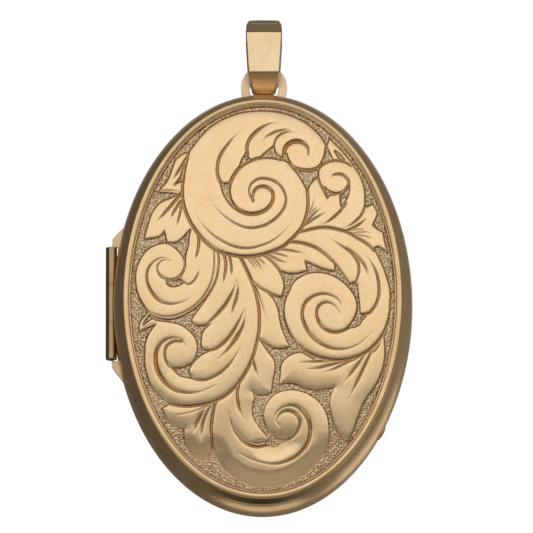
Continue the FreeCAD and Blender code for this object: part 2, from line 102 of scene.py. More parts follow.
POCKETS = [
    [(-8.85, 5.33, 1), (-8.29, 5.28), (-7.83, 5.47), (-7.36, 5.9), (-6.8, 6.52, 1), (-6.91, 5.79),
     (-6.98, 5.11), (-7.17, 4.34), (-7.3, 3.76, 1), (-7.59, 4.2), (-8.01, 4.67), (-8.48, 5.05)],
    [(-9.04, 1.63, 1), (-8.67, 1.62), (-8.2, 1.66), (-7.73, 1.77, 1), (-7.36, 1.43, 1), (-7.73, 1.17),
     (-8.2, 1.03), (-8.67, 1.09), (-8.95, 1.32)],
    [(-3.96, 11.23, 1), (-3.62, 11.03), (-3.24, 11.09, 1), (-3.19, 10.43), (-3.12, 9.85), (-2.92, 9.21),
     (-2.54, 8.66), (-2.08, 8.27, 1), (-2.64, 8.54), (-3.12, 9.03), (-3.52, 9.65), (-3.81, 10.34)],
    [(-1.51, 14.21, 1), (-1.42, 13.77), (-1.14, 13.27, 1), (-1.65, 13.05), (-2.17, 12.69, 1), (-2.03, 13.18),
     (-1.7, 13.77)],
    [(-0.22, 13.61, 1), (0.31, 14.08), (0.96, 14.65, 1), (1.1, 14.26), (1.38, 13.86), (1.93, 13.45, 1),
     (1.34, 13.49), (0.68, 13.59)],
    [(1.9, 13.92, 1), (2.27, 13.92, 1), (2.39, 13.48), (2.65, 12.99, 1), (2.18, 13.18), (1.74, 13.43, 1)],
    [(2.32, 13.08, 1), (2.83, 12.61), (3.39, 12.32), (4.05, 12.21), (4.61, 12.25), (5.08, 12.39, 1),
     (5.2, 11.93), (4.98, 11.54, 1), (4.61, 11.14), (4.33, 10.69), (4.17, 10.35, 1), (3.94, 10.74),
     (3.67, 11.27), (3.39, 11.76), (3.02, 12.25), (2.65, 12.69)],
    [(5.87, 14.65, 1), (6.06, 14.51, 1), (6.34, 13.92), (6.57, 13.4, 1), (6.01, 13.23), (5.59, 12.92),
     (5.31, 12.62, 1), (5.59, 13.22), (5.81, 13.81), (5.87, 14.31)],
    [(6.71, 14.29, 1), (7.23, 13.96), (7.7, 13.33, 1), (7.27, 13.4), (6.99, 13.74)],
    [(5.78, 10.67, 1), (6.25, 10.28), (6.76, 10.11), (7.32, 10.16, 1), (6.76, 9.97), (6.29, 9.89),
     (6.04, 9.61, 1)],
    [(7.23, 9.91, 1), (7.65, 10.31), (8, 10.81, 1), (8.13, 10.42), (7.93, 9.73), (7.6, 9.13), (7.32, 8.8, 1),
     (7.26, 9.32)],
    [(3.98, 3.38, 1), (4.61, 3.13), (5.26, 2.84), (6.01, 2.58), (6.71, 2.5, 1), (6.76, 2.97), (6.57, 3.42, 1),
     (6.99, 2.97), (7.41, 2.35), (7.84, 1.73), (8.16, 1.3, 1), (8.63, 1.48, 1), (8.82, 1.17), (8.91, 0.49),
     (9, -0.28), (9.06, -0.95), (9.1, -1.53, 1), (9.66, -1.81, 1), (9.28, -2.2), (9.05, -2.59), (8.63, -2.86),
     (8.16, -2.96), (7.74, -3.11, 1), (8.16, -2.62), (8.49, -2.08), (8.72, -1.49), (8.82, -0.81), (8.65, -0.04),
     (8.28, 0.64), (7.74, 1.24), (7.18, 1.71), (6.53, 2.07), (5.78, 2.29), (4.98, 2.36), (4.21, 2.25, 1)],
    [(1.65, 2.44, 1), (2.37, 2.23), (3.11, 2.21), (3.67, 2.35), (4.2, 2.54, 1), (4.28, 2.27, 1), (3.58, 1.95),
     (3.02, 1.51), (2.58, 0.87), (2.27, 0.24), (2.06, -0.44), (1.93, -1.16), (1.9, -1.84), (2.04, -2.52),
     (2.32, -3.28), (2.69, -3.96), (3.21, -4.56), (3.77, -5.02), (3.77, -5.32, 1), (3.39, -5.37), (2.83, -5.52),
     (2.27, -5.84), (1.86, -6.3), (1.67, -6.89), (1.62, -7.61), (1.51, -8.48, 1), (2.09, -8.35), (2.65, -8.33),
     (3.3, -8.48), (3.86, -8.75), (4.52, -8.91), (5.17, -8.94), (5.92, -8.83), (6.65, -8.7, 1), (6.48, -9.09),
     (6.31, -9.62), (6.26, -10.24), (6.32, -10.91), (6.48, -11.62), (6.69, -12.38, 1), (7.23, -13.37, 1),
     (6.01, -14.63, 1), (6.23, -13.86), (6.25, -13.1), (6.19, -12.34), (6.09, -11.68), (5.88, -11.01),
     (5.54, -10.44), (5.11, -9.93), (4.54, -9.5), (3.89, -9.19), (3.21, -9), (2.55, -8.95), (1.85, -9.05),
     (1.24, -9.3), (0.78, -9.72), (0.4, -10.2), (0.17, -10.77), (0.06, -11.44), (0.15, -12.06), (0.4, -12.68),
     (0.73, -13.09), (1.1, -13.41), (1.52, -13.63), (2.09, -13.68), (2.55, -13.62, 1), (2.18, -13.91),
     (1.71, -14.09), (1.34, -14.32), (0.87, -14.39), (0.34, -14.26, 1), (0.24, -13.95), (0.54, -13.66, 1),
     (0.17, -13.16), (-0.3, -12.56), (-0.65, -12.04), (-0.89, -11.54), (-0.95, -10.96), (-0.87, -10.39),
     (-0.76, -9.82), (-0.94, -9.15, 1), (-0.53, -9.39), (0.03, -9.47), (0.5, -9.37), (0.85, -9.18, 1),
     (0.9, -8.57), (0.99, -8), (1.15, -7.28), (1.17, -6.56), (0.98, -5.99), (0.59, -5.46), (0.15, -4.83),
     (-0.25, -4.21, 1), (0.4, -4.61), (0.96, -4.96), (1.62, -5.06), (2.13, -4.95), (2.55, -4.84, 1),
     (2.27, -4.3), (1.97, -3.58), (1.71, -2.81), (1.55, -2.04), (1.46, -1.36), (1.22, -0.68), (0.94, -0.18),
     (0.5, 0.28, 1), (1.15, 0.03), (1.76, -0.12, 1), (1.93, 0.38), (2.07, 1.01), (1.99, 1.64), (1.85, 2.1)],
    [(-10.54, -1.54, 1), (-9.88, -1.9), (-9.13, -2.08), (-8.39, -2.11), (-7.64, -1.89), (-6.98, -1.56),
     (-6.24, -1.04), (-5.58, -0.4), (-5.11, 0.08, 1), (-5.63, -0.69), (-6.14, -1.4), (-6.54, -1.98),
     (-6.68, -2.31, 1), (-6.38, -2.65), (-5.86, -2.79), (-5.3, -2.73), (-4.93, -2.66, 1), (-5.39, -3.11),
     (-5.65, -3.54), (-5.74, -4.11), (-5.75, -4.69), (-5.58, -5.08, 1), (-5.02, -5.26, 1), (-5.58, -5.51),
     (-6, -5.84), (-6.38, -6.22), (-6.7, -6.64), (-6.87, -7.02), (-6.8, -7.41), (-6.52, -7.84, 1),
     (-7.08, -7.72), (-7.64, -7.58), (-8.06, -7.28), (-8.48, -6.82, 1), (-7.92, -6.88), (-7.36, -6.8),
     (-6.84, -6.52), (-6.42, -6.12), (-6.17, -5.55), (-6.1, -4.88), (-6.21, -4.25), (-6.47, -3.71),
     (-6.84, -3.27), (-7.31, -2.88), (-7.87, -2.58), (-8.48, -2.42), (-9.13, -2.3), (-9.88, -2.17),
     (-10.4, -1.93, 1)],
    [(-10.54, -1.54, 1), (-10.26, -1.98, 1), (-10.49, -2.12), (-10.82, -2.38), (-11.16, -2.66, 1),
     (-10.96, -2.2), (-10.72, -1.87)],
    [(-7.38, 12.86, 1), (-7.49, 12.07), (-7.55, 11.24, 1), (-7.87, 11.17), (-8.27, 10.95, 1), (-7.83, 11.54),
     (-7.59, 12.17)],
]

CUTS = [
    (0.28, 0.30, 0.28,
    [(-6.94, 14.23), (-7.12, 13.35), (-7.31, 12.56), (-7.42, 11.78), (-7.5, 10.99), (-7.52, 10.21),
     (-7.47, 9.42), (-7.31, 8.64), (-7.03, 7.85), (-6.66, 7.06), (-6.19, 6.32), (-5.63, 5.62), (-5.02, 5.03),
     (-4.37, 4.53), (-3.62, 4.2), (-2.78, 3.98), (-1.94, 3.85), (-1.09, 3.86), (-0.25, 3.99), (0.5, 4.21),
     (1.24, 4.48), (1.94, 4.85), (2.55, 5.39), (3.11, 5.98), (3.58, 6.57), (3.91, 7.31), (4.14, 8.14),
     (4.24, 8.98), (4.21, 9.76), (4.16, 10.45)]),
    (0.22, 0.34, 0.24,
    [(1.71, 13.32), (1.15, 13.47), (0.5, 13.55), (-0.07, 13.52), (-0.63, 13.4), (-1.19, 13.2), (-1.65, 12.96),
     (-2.12, 12.59), (-2.54, 12.05), (-2.92, 11.36), (-3.13, 10.63), (-3.13, 9.94), (-2.95, 9.26),
     (-2.54, 8.66), (-2.03, 8.27), (-1.42, 8.04), (-0.81, 8.01), (-0.21, 8.15), (0.36, 8.46), (0.78, 8.97),
     (0.98, 9.59), (0.85, 10.22), (0.42, 10.59), (-0.11, 10.69), (-0.58, 10.5), (-0.85, 10.1), (-0.94, 9.64),
     (-0.89, 9.29)]),
    (0.05, 0.21, 0.17,
    [(-5.3, 11.05), (-5.16, 10.26), (-4.93, 9.52), (-4.55, 8.88), (-4.09, 8.29), (-3.52, 7.74), (-2.96, 7.33),
     (-2.31, 6.95), (-1.65, 6.7), (-1, 6.62), (-0.35, 6.72), (0.31, 6.94), (0.87, 7.29), (1.34, 7.68),
     (1.71, 8.12), (2.04, 8.71), (2.18, 9.4), (2.04, 10.08), (1.66, 10.77), (1.15, 11.19), (0.5, 11.42),
     (-0.16, 11.48), (-0.67, 11.3), (-1.09, 10.91), (-1.26, 10.37), (-1.19, 9.83), (-0.93, 9.34)]),
    (0.04, 0.17, 0.04,
    [(-6.7, 9.11), (-6.47, 8.42), (-6.14, 7.78), (-5.72, 7.14), (-5.21, 6.5), (-4.65, 5.97), (-3.99, 5.5),
     (-3.24, 5.08), (-2.5, 4.79), (-1.75, 4.66), (-1, 4.69), (-0.25, 4.89), (0.5, 5.17), (1.2, 5.58),
     (1.85, 6.14), (2.41, 6.78), (2.83, 7.41), (3.08, 8.03)]),
    (0.05, 0.28, 0.28,
    [(-2.15, 16.16), (-2.68, 15.6), (-3.24, 14.91), (-3.71, 14.23), (-4.07, 13.54), (-4.23, 12.8),
     (-4.25, 12.12), (-4.12, 11.52), (-3.9, 11.03)]),
    (0.30, 0.28, 0.04,
    [(-1.44, 13.86), (-1.49, 14.46), (-1.35, 15.1), (-1, 15.69), (-0.53, 16.18), (0.03, 16.6), (0.68, 16.9),
     (1.48, 17.05)]),
    (0.05, 0.19, 0.04,
    [(-0.13, 15.17), (0.31, 15.59), (0.87, 15.94), (1.52, 16.19), (2.18, 16.32), (2.69, 16.26)]),
    (0.04, 0.17, 0.19,
    [(3.25, 16.11), (2.65, 16.12), (2.09, 16.04), (1.57, 15.76), (1.22, 15.34), (1.06, 14.75), (1.1, 14.26)]),
    (0.37, 0.39, 0.15,
    [(2.06, 13.57), (2.02, 14.21), (2.27, 14.76), (2.79, 15.11), (3.39, 15.16), (3.93, 14.92), (4.25, 14.48),
     (4.28, 13.89)]),
    (0.19, 0.21, 0.19,
    [(2.37, 13.28), (2.69, 12.84), (3.16, 12.54), (3.72, 12.38), (4.33, 12.36), (4.89, 12.5), (5.31, 12.77),
     (5.57, 13.24), (5.78, 13.81), (5.87, 14.41)]),
    (0.19, 0.21, 0.19,
    [(5.19, 12.23), (5.4, 12.67), (5.83, 13.03), (6.39, 13.25), (7.04, 13.31), (7.7, 13.16), (8.26, 12.83)]),
    (0.21, 0.21, 0.19,
    [(5.17, 12.23), (5.19, 11.64), (5.36, 11.05), (5.64, 10.47), (6.01, 9.74)]),
    (0.24, 0.22, 0.07,
    [(8.05, 10.61), (8.05, 11.25), (7.79, 11.69), (7.37, 11.95), (6.9, 11.98), (6.57, 11.86), (6.43, 11.6)]),
    (0.15, 0.15, 0.13,
    [(5.83, 10.54), (6.39, 10.21), (7.04, 10.12), (7.55, 10.36), (7.88, 10.81)]),
    (0.19, 0.22, 0.04,
    [(7.79, 9.14), (7.32, 8.44), (6.76, 7.84), (6.15, 7.34), (5.45, 6.94)]),
    (0.21, 0.19, 0.04,
    [(9.61, 9.09), (9.42, 8.44), (9.1, 7.85), (8.63, 7.35), (8.07, 6.94), (7.46, 6.65)]),
    (0.22, 0.24, 0.22,
    [(3.44, 6.28), (3.96, 6.37), (4.52, 6.53), (5.17, 6.67), (5.83, 6.72), (6.48, 6.66), (7.13, 6.52),
     (7.79, 6.35), (8.35, 6.07), (8.91, 5.71), (9.47, 5.39), (9.94, 5.05), (10.41, 4.57)]),
    (0.22, 0.24, 0.22,
    [(2.41, 5.31), (3.02, 5.25), (3.67, 5.16), (4.33, 4.97), (4.89, 4.76), (5.45, 4.42), (6.01, 3.97),
     (6.48, 3.5)]),
    (0.19, 0.17, 0.04,
    [(3.81, 6.87), (4.33, 7.22), (4.89, 7.61), (5.45, 7.95), (6.06, 8.27)]),
    (0.21, 0.15, 0.04,
    [(4.19, 7.31), (4.56, 7.76), (4.98, 8.22), (5.5, 8.6)]),
    (0.15, 0.11, 0.04,
    [(4.38, 8.19), (4.66, 8.79), (4.8, 9.37), (4.92, 9.77)]),
    (0.13, 0.11, 0.04,
    [(4.38, 7.8), (4.75, 8.35), (5.12, 8.74)]),
    (0.04, 0.26, 0.19,
    [(6.2, 5.65), (6.85, 5.28), (7.51, 4.85), (8.12, 4.46), (8.54, 4.03), (8.86, 3.5), (9, 2.87), (8.96, 2.24),
     (8.72, 1.51)]),
    (0.22, 0.21, 0.04,
    [(7.79, 4.69), (8.35, 4.36), (8.86, 3.94), (9.31, 3.42), (9.64, 2.84), (9.85, 2.22), (9.94, 1.49)]),
    (0.06, 0.26, 0.22,
    [(9.66, 4.06), (10.08, 3.49), (10.45, 2.82), (10.73, 2), (10.87, 1.13), (10.87, 0.36), (10.69, -0.37),
     (10.36, -1.01), (9.89, -1.51), (9.19, -1.67)]),
    (0.07, 0.28, 0.04,
    [(7.17, -1.61), (7.32, -1.14), (7.27, -0.66), (6.99, -0.23), (6.53, 0.08), (5.97, 0.25), (5.36, 0.24),
     (4.7, 0), (4.14, -0.45), (3.8, -1.05), (3.69, -1.73), (3.79, -2.4), (4.05, -3.08), (4.47, -3.71),
     (5.03, -4.27), (5.73, -4.72), (6.48, -4.98), (7.32, -5.04), (8.12, -4.89), (8.82, -4.59), (9.38, -4.19),
     (9.85, -3.73), (10.27, -3.24)]),
    (0.07, 0.26, 0.24,
    [(7.15, -1.58), (6.93, -1.15), (6.57, -0.75), (6.13, -0.55), (5.67, -0.61), (5.26, -0.94), (5.06, -1.42),
     (5.08, -2.05), (5.31, -2.62), (5.73, -3.08), (6.29, -3.36), (6.9, -3.42), (7.51, -3.25), (8.07, -2.91)]),
    (0.24, 0.28, 0.28,
    [(11.94, -0.19), (11.92, -1.16), (11.72, -2.22), (11.39, -3.15), (10.95, -3.94), (10.41, -4.6),
     (9.85, -5.13), (9.19, -5.54), (8.44, -5.84), (7.6, -6.03), (6.76, -6.07), (5.92, -5.98), (5.08, -5.76),
     (4.33, -5.44), (3.67, -5.05), (3.11, -4.53), (2.65, -3.91), (2.27, -3.14), (2.01, -2.32), (1.9, -1.45),
     (1.99, -0.58), (2.23, 0.14), (2.55, 0.82)]),
    (0.13, 0.19, 0.04,
    [(6.29, -6.22), (5.54, -6.23), (4.61, -6.27), (3.39, -6.4)]),
    (0.19, 0.19, 0.04,
    [(7.79, -6.09), (6.85, -6.4), (5.92, -6.68), (4.98, -6.91), (4.19, -7.02)]),
    (0.19, 0.17, 0.04,
    [(8.72, -5.88), (7.98, -6.23), (7.23, -6.65), (6.48, -7.02), (5.64, -7.33)]),
    (0.15, 0.21, 0.04,
    [(9.52, -5.52), (9, -6.3), (8.54, -6.94), (8.07, -7.55), (7.63, -8.2)]),
    (0.19, 0.24, 0.04,
    [(10.17, -5.12), (9.85, -5.89), (9.47, -6.72), (9.1, -7.55), (8.72, -8.32), (8.38, -9.05), (8.07, -9.82)]),
    (0.19, 0.19, 0.19,
    [(3.58, -5.3), (4.24, -5.67), (4.8, -6)]),
    (0.04, 0.15, 0.13,
    [(11.29, -3.78), (10.97, -4.42), (10.55, -5.01), (10.13, -5.36)]),
    (0.13, 0.11, 0.04,
    [(-1.51, 3.73), (-1, 3.1), (-0.49, 2.32)]),
    (0.13, 0.11, 0.04,
    [(-1.19, 3.78), (-0.67, 3.1), (-0.21, 2.46)]),
    (0.15, 0.13, 0.04,
    [(-0.86, 3.78), (-0.35, 3.05), (0.07, 2.22)]),
    (0.13, 0.11, 0.04,
    [(-0.49, 3.78), (-0.02, 3.29), (0.36, 2.8)]),
    (0.19, 0.15, 0.04,
    [(0.5, 4.07), (1.1, 3.7), (1.71, 3.39), (2.37, 3.2)]),
    (0.15, 0.13, 0.04,
    [(0.96, 4.22), (1.71, 4.02), (2.51, 3.74)]),
    (0.17, 0.15, 0.04,
    [(1.52, 4.56), (2.27, 4.48), (3.11, 4.33), (3.91, 4.14)]),
    (0.21, 0.21, 0.19,
    [(0.17, 3.92), (0.73, 3.5), (1.15, 3.05), (1.52, 2.54), (1.8, 1.98), (1.99, 1.4), (2.04, 0.87),
     (1.93, 0.38), (1.76, -0.1)]),
    (0.28, 0.28, 0.28,
    [(-2.12, 3.8), (-1.8, 3.15), (-1.42, 2.32), (-1.05, 1.45), (-0.72, 0.57), (-0.49, -0.4), (-0.35, -1.36),
     (-0.31, -2.33), (-0.35, -3.29), (-0.46, -4.06), (-0.63, -4.83), (-0.83, -5.6), (-1.09, -6.32),
     (-1.42, -7.04), (-1.8, -7.71), (-2.22, -8.33), (-2.78, -8.93), (-3.43, -9.47), (-4.18, -9.92),
     (-5.02, -10.21), (-5.96, -10.39), (-6.89, -10.48), (-7.83, -10.4), (-8.67, -10.17), (-9.32, -9.79)]),
    (0.21, 0.13, 0.04,
    [(-0.97, 1.4), (-0.58, 0.57), (-0.25, -0.3), (0.03, -1.17), (0.31, -2.04), (0.59, -2.91)]),
    (0.17, 0.19, 0.15,
    [(-1.02, 1.54), (-0.58, 1.1), (-0.07, 0.71), (0.5, 0.4), (1.15, 0.11), (1.71, -0.1)]),
    (0.28, 0.26, 0.04,
    [(-3.68, 4.28), (-3.5, 3.6), (-3.44, 2.92), (-3.52, 2.24), (-3.67, 1.51), (-3.87, 0.69)]),
    (0.24, 0.21, 0.04,
    [(-3.12, 3.89), (-2.99, 3.3), (-2.92, 2.72), (-2.93, 2.23), (-2.98, 1.75)]),
    (0.15, 0.15, 0.15,
    [(-4.57, 4.54), (-4.53, 3.71), (-4.55, 2.93), (-4.65, 2.16), (-4.86, 1.29), (-5.21, 0.52), (-5.68, -0.18),
     (-6.24, -0.75), (-6.89, -1.23), (-7.64, -1.6), (-8.48, -1.82), (-9.32, -1.82), (-10.07, -1.6),
     (-10.68, -1.29)]),
    (0.19, 0.19, 0.17,
    [(-4.2, 4.39), (-4.1, 3.51), (-4.16, 2.63), (-4.32, 1.76), (-4.65, 0.89), (-5.07, 0.17), (-5.58, -0.54),
     (-6.1, -1.21), (-6.56, -1.83), (-6.72, -2.26)]),
    (0.28, 0.24, 0.04,
    [(-6, 5.83), (-5.97, 5.19), (-6.07, 4.51), (-6.21, 3.93), (-6.35, 3.35)]),
    (0.19, 0.21, 0.19,
    [(-6.75, 6.52), (-6.93, 5.79), (-7, 5.02), (-7.19, 4.34), (-7.28, 3.66), (-7.28, 2.98), (-7.45, 2.4),
     (-7.71, 1.92)]),
    (0.13, 0.15, 0.04,
    [(-7.36, 1.43), (-6.94, 1.22), (-6.52, 1.43), (-6.16, 1.94), (-5.93, 2.47), (-5.88, 3)]),
    (0.05, 0.26, 0.04,
    [(-8.59, 3.48), (-9.04, 3.77), (-9.56, 3.81), (-10.12, 3.54), (-10.56, 3.06), (-10.79, 2.49),
     (-10.84, 1.81), (-10.68, 1.13), (-10.35, 0.49), (-9.88, -0.09), (-9.32, -0.46), (-8.71, -0.63),
     (-8.06, -0.61), (-7.45, -0.46), (-6.98, -0.26), (-6.66, 0.06)]),
    (0.05, 0.18, 0.18,
    [(-8.59, 3.48), (-8.99, 3.62), (-9.46, 3.52), (-9.79, 3.14), (-9.85, 2.61), (-9.6, 2.16), (-9.13, 1.83),
     (-8.57, 1.71), (-8.01, 1.85), (-7.64, 2.16), (-7.39, 2.59)]),
    (0.19, 0.19, 0.19,
    [(-7.28, 3.56), (-7.55, 4.12), (-7.97, 4.63), (-8.45, 5.05), (-8.99, 5.31)]),
    (0.11, 0.11, 0.06,
    [(-9.79, 10.43), (-9.04, 10.44), (-8.29, 10.38), (-7.64, 10.21)]),
    (0.04, 0.24, 0.28,
    [(-8.55, 11.38), (-8.06, 12.04), (-7.59, 12.77), (-7.19, 13.45)]),
    (0.28, 0.24, 0.04,
    [(-7.69, 10.07), (-8.06, 9.55), (-8.53, 8.96), (-9.06, 8.34), (-9.57, 7.78), (-10.02, 7.39)]),
    (0.28, 0.21, 0.04,
    [(-7.69, 9.28), (-8.06, 8.7), (-8.41, 8.12), (-8.73, 7.54)]),
    (0.22, 0.19, 0.04,
    [(-7.59, 8.84), (-7.75, 8.11), (-7.94, 7.38), (-8.11, 6.65)]),
    (0.06, 0.28, 0.15,
    [(-2.44, 1.5), (-2.68, 0.73), (-3.06, -0.09), (-3.52, -0.86), (-4.09, -1.56), (-4.69, -2.18), (-5.3, -2.72)]),
    (0.06, 0.26, 0.04,
    [(-2.42, 1.5), (-2.31, 0.77), (-2.4, -0), (-2.63, -0.77), (-2.87, -1.5), (-3.08, -2.22)]),
    (0.15, 0.26, 0.06,
    [(-5.68, -5.17), (-5.07, -5.2), (-4.41, -5.05), (-3.81, -4.65), (-3.24, -4.08), (-2.68, -3.28),
     (-2.22, -2.42), (-1.89, -1.74), (-1.69, -1.36)]),
    (0.06, 0.26, 0.04,
    [(-1.67, -1.36), (-1.64, -2.13), (-1.86, -2.9), (-2.19, -3.62), (-2.63, -4.34), (-3.15, -5.01),
     (-3.67, -5.58), (-4.13, -6.03)]),
    (0.04, 0.11, 0.04,
    [(-2.22, -3.24), (-2.54, -3.86), (-2.96, -4.48)]),
    (0.19, 0.21, 0.04,
    [(-6.7, -7.7), (-6.14, -7.97), (-5.49, -8.02), (-4.79, -7.82), (-4.09, -7.45), (-3.43, -6.91),
     (-2.87, -6.26), (-2.4, -5.59), (-2.12, -5.02)]),
    (0.24, 0.19, 0.04,
    [(-0.97, -5.99), (-0.81, -6.61), (-0.61, -7.23), (-0.35, -7.86)]),
    (0.28, 0.26, 0.04,
    [(-2.12, -8.09), (-2.28, -8.66), (-2.37, -9.33), (-2.33, -10.1), (-2.19, -10.77), (-2, -11.29),
     (-1.81, -11.77)]),
    (0.15, 0.15, 0.15,
    [(-0.25, -4.14), (0.31, -4.56), (0.87, -4.91)]),
    (0.07, 0.39, 0.04,
    [(-7.19, -4.66), (-7.52, -4.2), (-8.01, -3.93), (-8.57, -3.92), (-9.18, -4.16), (-9.65, -4.63),
     (-9.93, -5.27), (-10, -5.94), (-9.93, -6.61), (-9.7, -7.29), (-9.32, -7.92), (-8.76, -8.51),
     (-8.11, -8.94), (-7.36, -9.16), (-6.61, -9.21), (-5.86, -9.12), (-5.11, -8.88), (-4.37, -8.55)]),
    (0.21, 0.21, 0.19,
    [(-7.55, -4.27), (-8.11, -4.26), (-8.64, -4.44), (-9.01, -4.84), (-9.15, -5.43), (-9.09, -6.01),
     (-8.83, -6.48), (-8.39, -6.78), (-7.83, -6.84), (-7.26, -6.71), (-6.8, -6.48)]),
    (0.09, 0.09, 0.04,
    [(-11.47, -3.25), (-11, -2.88), (-10.44, -2.51), (-9.79, -2.28)]),
    (0.15, 0.09, 0.04,
    [(-4.83, -10.34), (-5.58, -10.65), (-6.33, -10.95), (-7.17, -11.2), (-8.01, -11.33)]),
    (0.07, 0.30, 0.06,
    [(-5.23, -10.59), (-5.58, -11.06), (-5.86, -11.54), (-6.1, -12.06), (-6.28, -12.53), (-6.4, -12.91)]),
    (0.15, 0.24, 0.04,
    [(-4.83, -10.5), (-5.18, -11.12), (-5.47, -11.78), (-5.64, -12.54), (-5.73, -13.21), (-5.77, -13.92)]),
    (0.28, 0.28, 0.24,
    [(-4.37, -9.98), (-4.53, -10.65), (-4.65, -11.32), (-4.76, -12.08), (-4.81, -12.84), (-4.76, -13.6),
     (-4.65, -14.36), (-4.6, -14.74)]),
    (0.05, 0.30, 0.22,
    [(-3.12, -11.14), (-3.03, -11.91), (-2.75, -12.62), (-2.31, -13.29), (-1.8, -13.85), (-1.19, -14.24),
     (-0.58, -14.39), (-0.02, -14.33), (0.4, -14.2)]),
    (0.07, 0.17, 0.15,
    [(-1.56, -13.82), (-1, -14.04), (-0.39, -14.03), (0.12, -13.9)]),
    (0.07, 0.34, 0.05,
    [(1.51, -12.41), (1.24, -11.96), (1.22, -11.39), (1.52, -10.91), (1.99, -10.58), (2.55, -10.46),
     (3.11, -10.57), (3.63, -10.95), (4.05, -11.47), (4.33, -12.08), (4.42, -12.84), (4.33, -13.61),
     (4.05, -14.28), (3.58, -14.88), (3.02, -15.36), (2.27, -15.74), (1.52, -15.96), (0.78, -16.01),
     (-0.07, -15.91), (-0.81, -15.72), (-1.47, -15.44), (-2.12, -15.05)]),
    (0.07, 0.26, 0.22,
    [(1.49, -12.41), (1.39, -11.96), (1.49, -11.49), (1.8, -11.14), (2.27, -11), (2.79, -11.1), (3.21, -11.43),
     (3.43, -11.93), (3.43, -12.47), (3.21, -13), (2.79, -13.46), (2.27, -13.72)]),
    (0.17, 0.17, 0.17,
    [(0.82, -9.2), (1.34, -9.18), (1.9, -8.98), (2.55, -8.9)]),
    (0.19, 0.19, 0.04,
    [(7.93, 6.47), (8.63, 6.83), (9.24, 7.27), (9.8, 7.77)]),
    (0.09, 0.09, 0.03,
    [(8.54, 6.22), (9.33, 6.34), (10.17, 6.29)]),
    (0.09, 0.09, 0.03,
    [(8.82, 6.03), (9.52, 5.95), (10.5, 5.64)]),
    (0.11, 0.09, 0.03,
    [(8.35, 6.56), (9, 6.59), (9.75, 6.64)]),
]


def curve(pts, closed, n=6):
    """Smooth line through the points, straight-tangented at marked corners."""
    p = [np.array(q[:2], float) for q in pts]
    sharp = [len(q) > 2 for q in pts]
    m = len(p)
    out = []
    for i in range(m if closed else m - 1):
        j = (i + 1) % m
        a, b = p[i], p[j]
        before = p[i - 1] if (closed or i > 0) else a
        after = p[(i + 2) % m] if (closed or i + 2 < m) else b
        ta = (b - a) * 0.8 if sharp[i] else (b - before) / 2
        tb = (b - a) * 0.8 if sharp[j] else (after - a) / 2
        for k in range(n):
            t = k / n
            out.append((2*t**3 - 3*t**2 + 1)*a + (t**3 - 2*t**2 + t)*ta
                       + (3*t**2 - 2*t**3)*b + (t**3 - t**2)*tb)
    if not closed:
        out.append(p[-1])
    return np.array(out)


def smooth(x):
    x = np.clip(x, 0.0, 1.0)
    return x * x * (3 - 2 * x)


def hash2(ix, iz, seed):
    """Repeatable 0..1 value for a pair of whole numbers."""
    h = (ix.astype(np.int64) * 374761393 + iz.astype(np.int64) * 668265263
         + seed * 974634777) & 0xFFFFFFFF
    h = ((h ^ (h >> 13)) * 1274126177) & 0xFFFFFFFF
    return ((h ^ (h >> 16)) & 0xFFFF) / 65535.0


def cells(x, z, size, seed):
    """Distance to the nearest of a set of jittered points, one per square."""
    gx, gz = np.floor(x / size), np.floor(z / size)
    best = np.full(x.shape, 9.0)
    for dx in (-1, 0, 1):
        for dz in (-1, 0, 1):
            cx, cz = gx + dx, gz + dz
            px = (cx + 0.12 + 0.76 * hash2(cx, cz, seed)) * size
            pz = (cz + 0.12 + 0.76 * hash2(cx, cz, seed + 7)) * size
            best = np.minimum(best, np.hypot(x - px, z - pz))
    return best


def value_noise(x, z, size, seed):
    gx, gz = np.floor(x / size), np.floor(z / size)
    fx, fz = smooth(x / size - gx), smooth(z / size - gz)
    a, b = hash2(gx, gz, seed), hash2(gx + 1, gz, seed)
    c, d = hash2(gx, gz + 1, seed), hash2(gx + 1, gz + 1, seed)
    return (a*(1-fx) + b*fx)*(1-fz) + (c*(1-fx) + d*fx)*fz


# ------------------------------------------------------------- height field
STEP = 0.05
gx = np.arange(-12.5, 12.5 + STEP / 2, STEP)
gz = np.arange(-18.75, 18.75 + STEP / 2, STEP)
X, Z = np.meshgrid(gx, gz)


def window(lo_x, hi_x, lo_z, hi_z):
    i0 = max(int((lo_x - gx[0]) / STEP), 0)
    i1 = min(int((hi_x - gx[0]) / STEP) + 2, len(gx))
    j0 = max(int((lo_z - gz[0]) / STEP), 0)
    j1 = min(int((hi_z - gz[0]) / STEP) + 2, len(gz))
    return slice(j0, j1), slice(i0, i1)


def inside(poly):
    """Grid points inside a closed line, by crossing number."""
    mask = np.zeros(X.shape, bool)
    w = window(poly[:, 0].min(), poly[:, 0].max(), poly[:, 1].min(), poly[:, 1].max())
    xs, zs = X[w], Z[w]
    m = np.zeros(xs.shape, bool)
    rows = zs[:, 0]
    for a, b in zip(poly, np.roll(poly, -1, 0)):
        if a[1] == b[1]:
            continue
        lo, hi = min(a[1], b[1]), max(a[1], b[1])
        r = np.where((rows >= lo) & (rows < hi))[0]
        if len(r):
            at = a[0] + (rows[r] - a[1]) * (b[0] - a[0]) / (b[1] - a[1])
            m[r] ^= xs[r] > at[:, None]
    mask[w] = m
    return mask


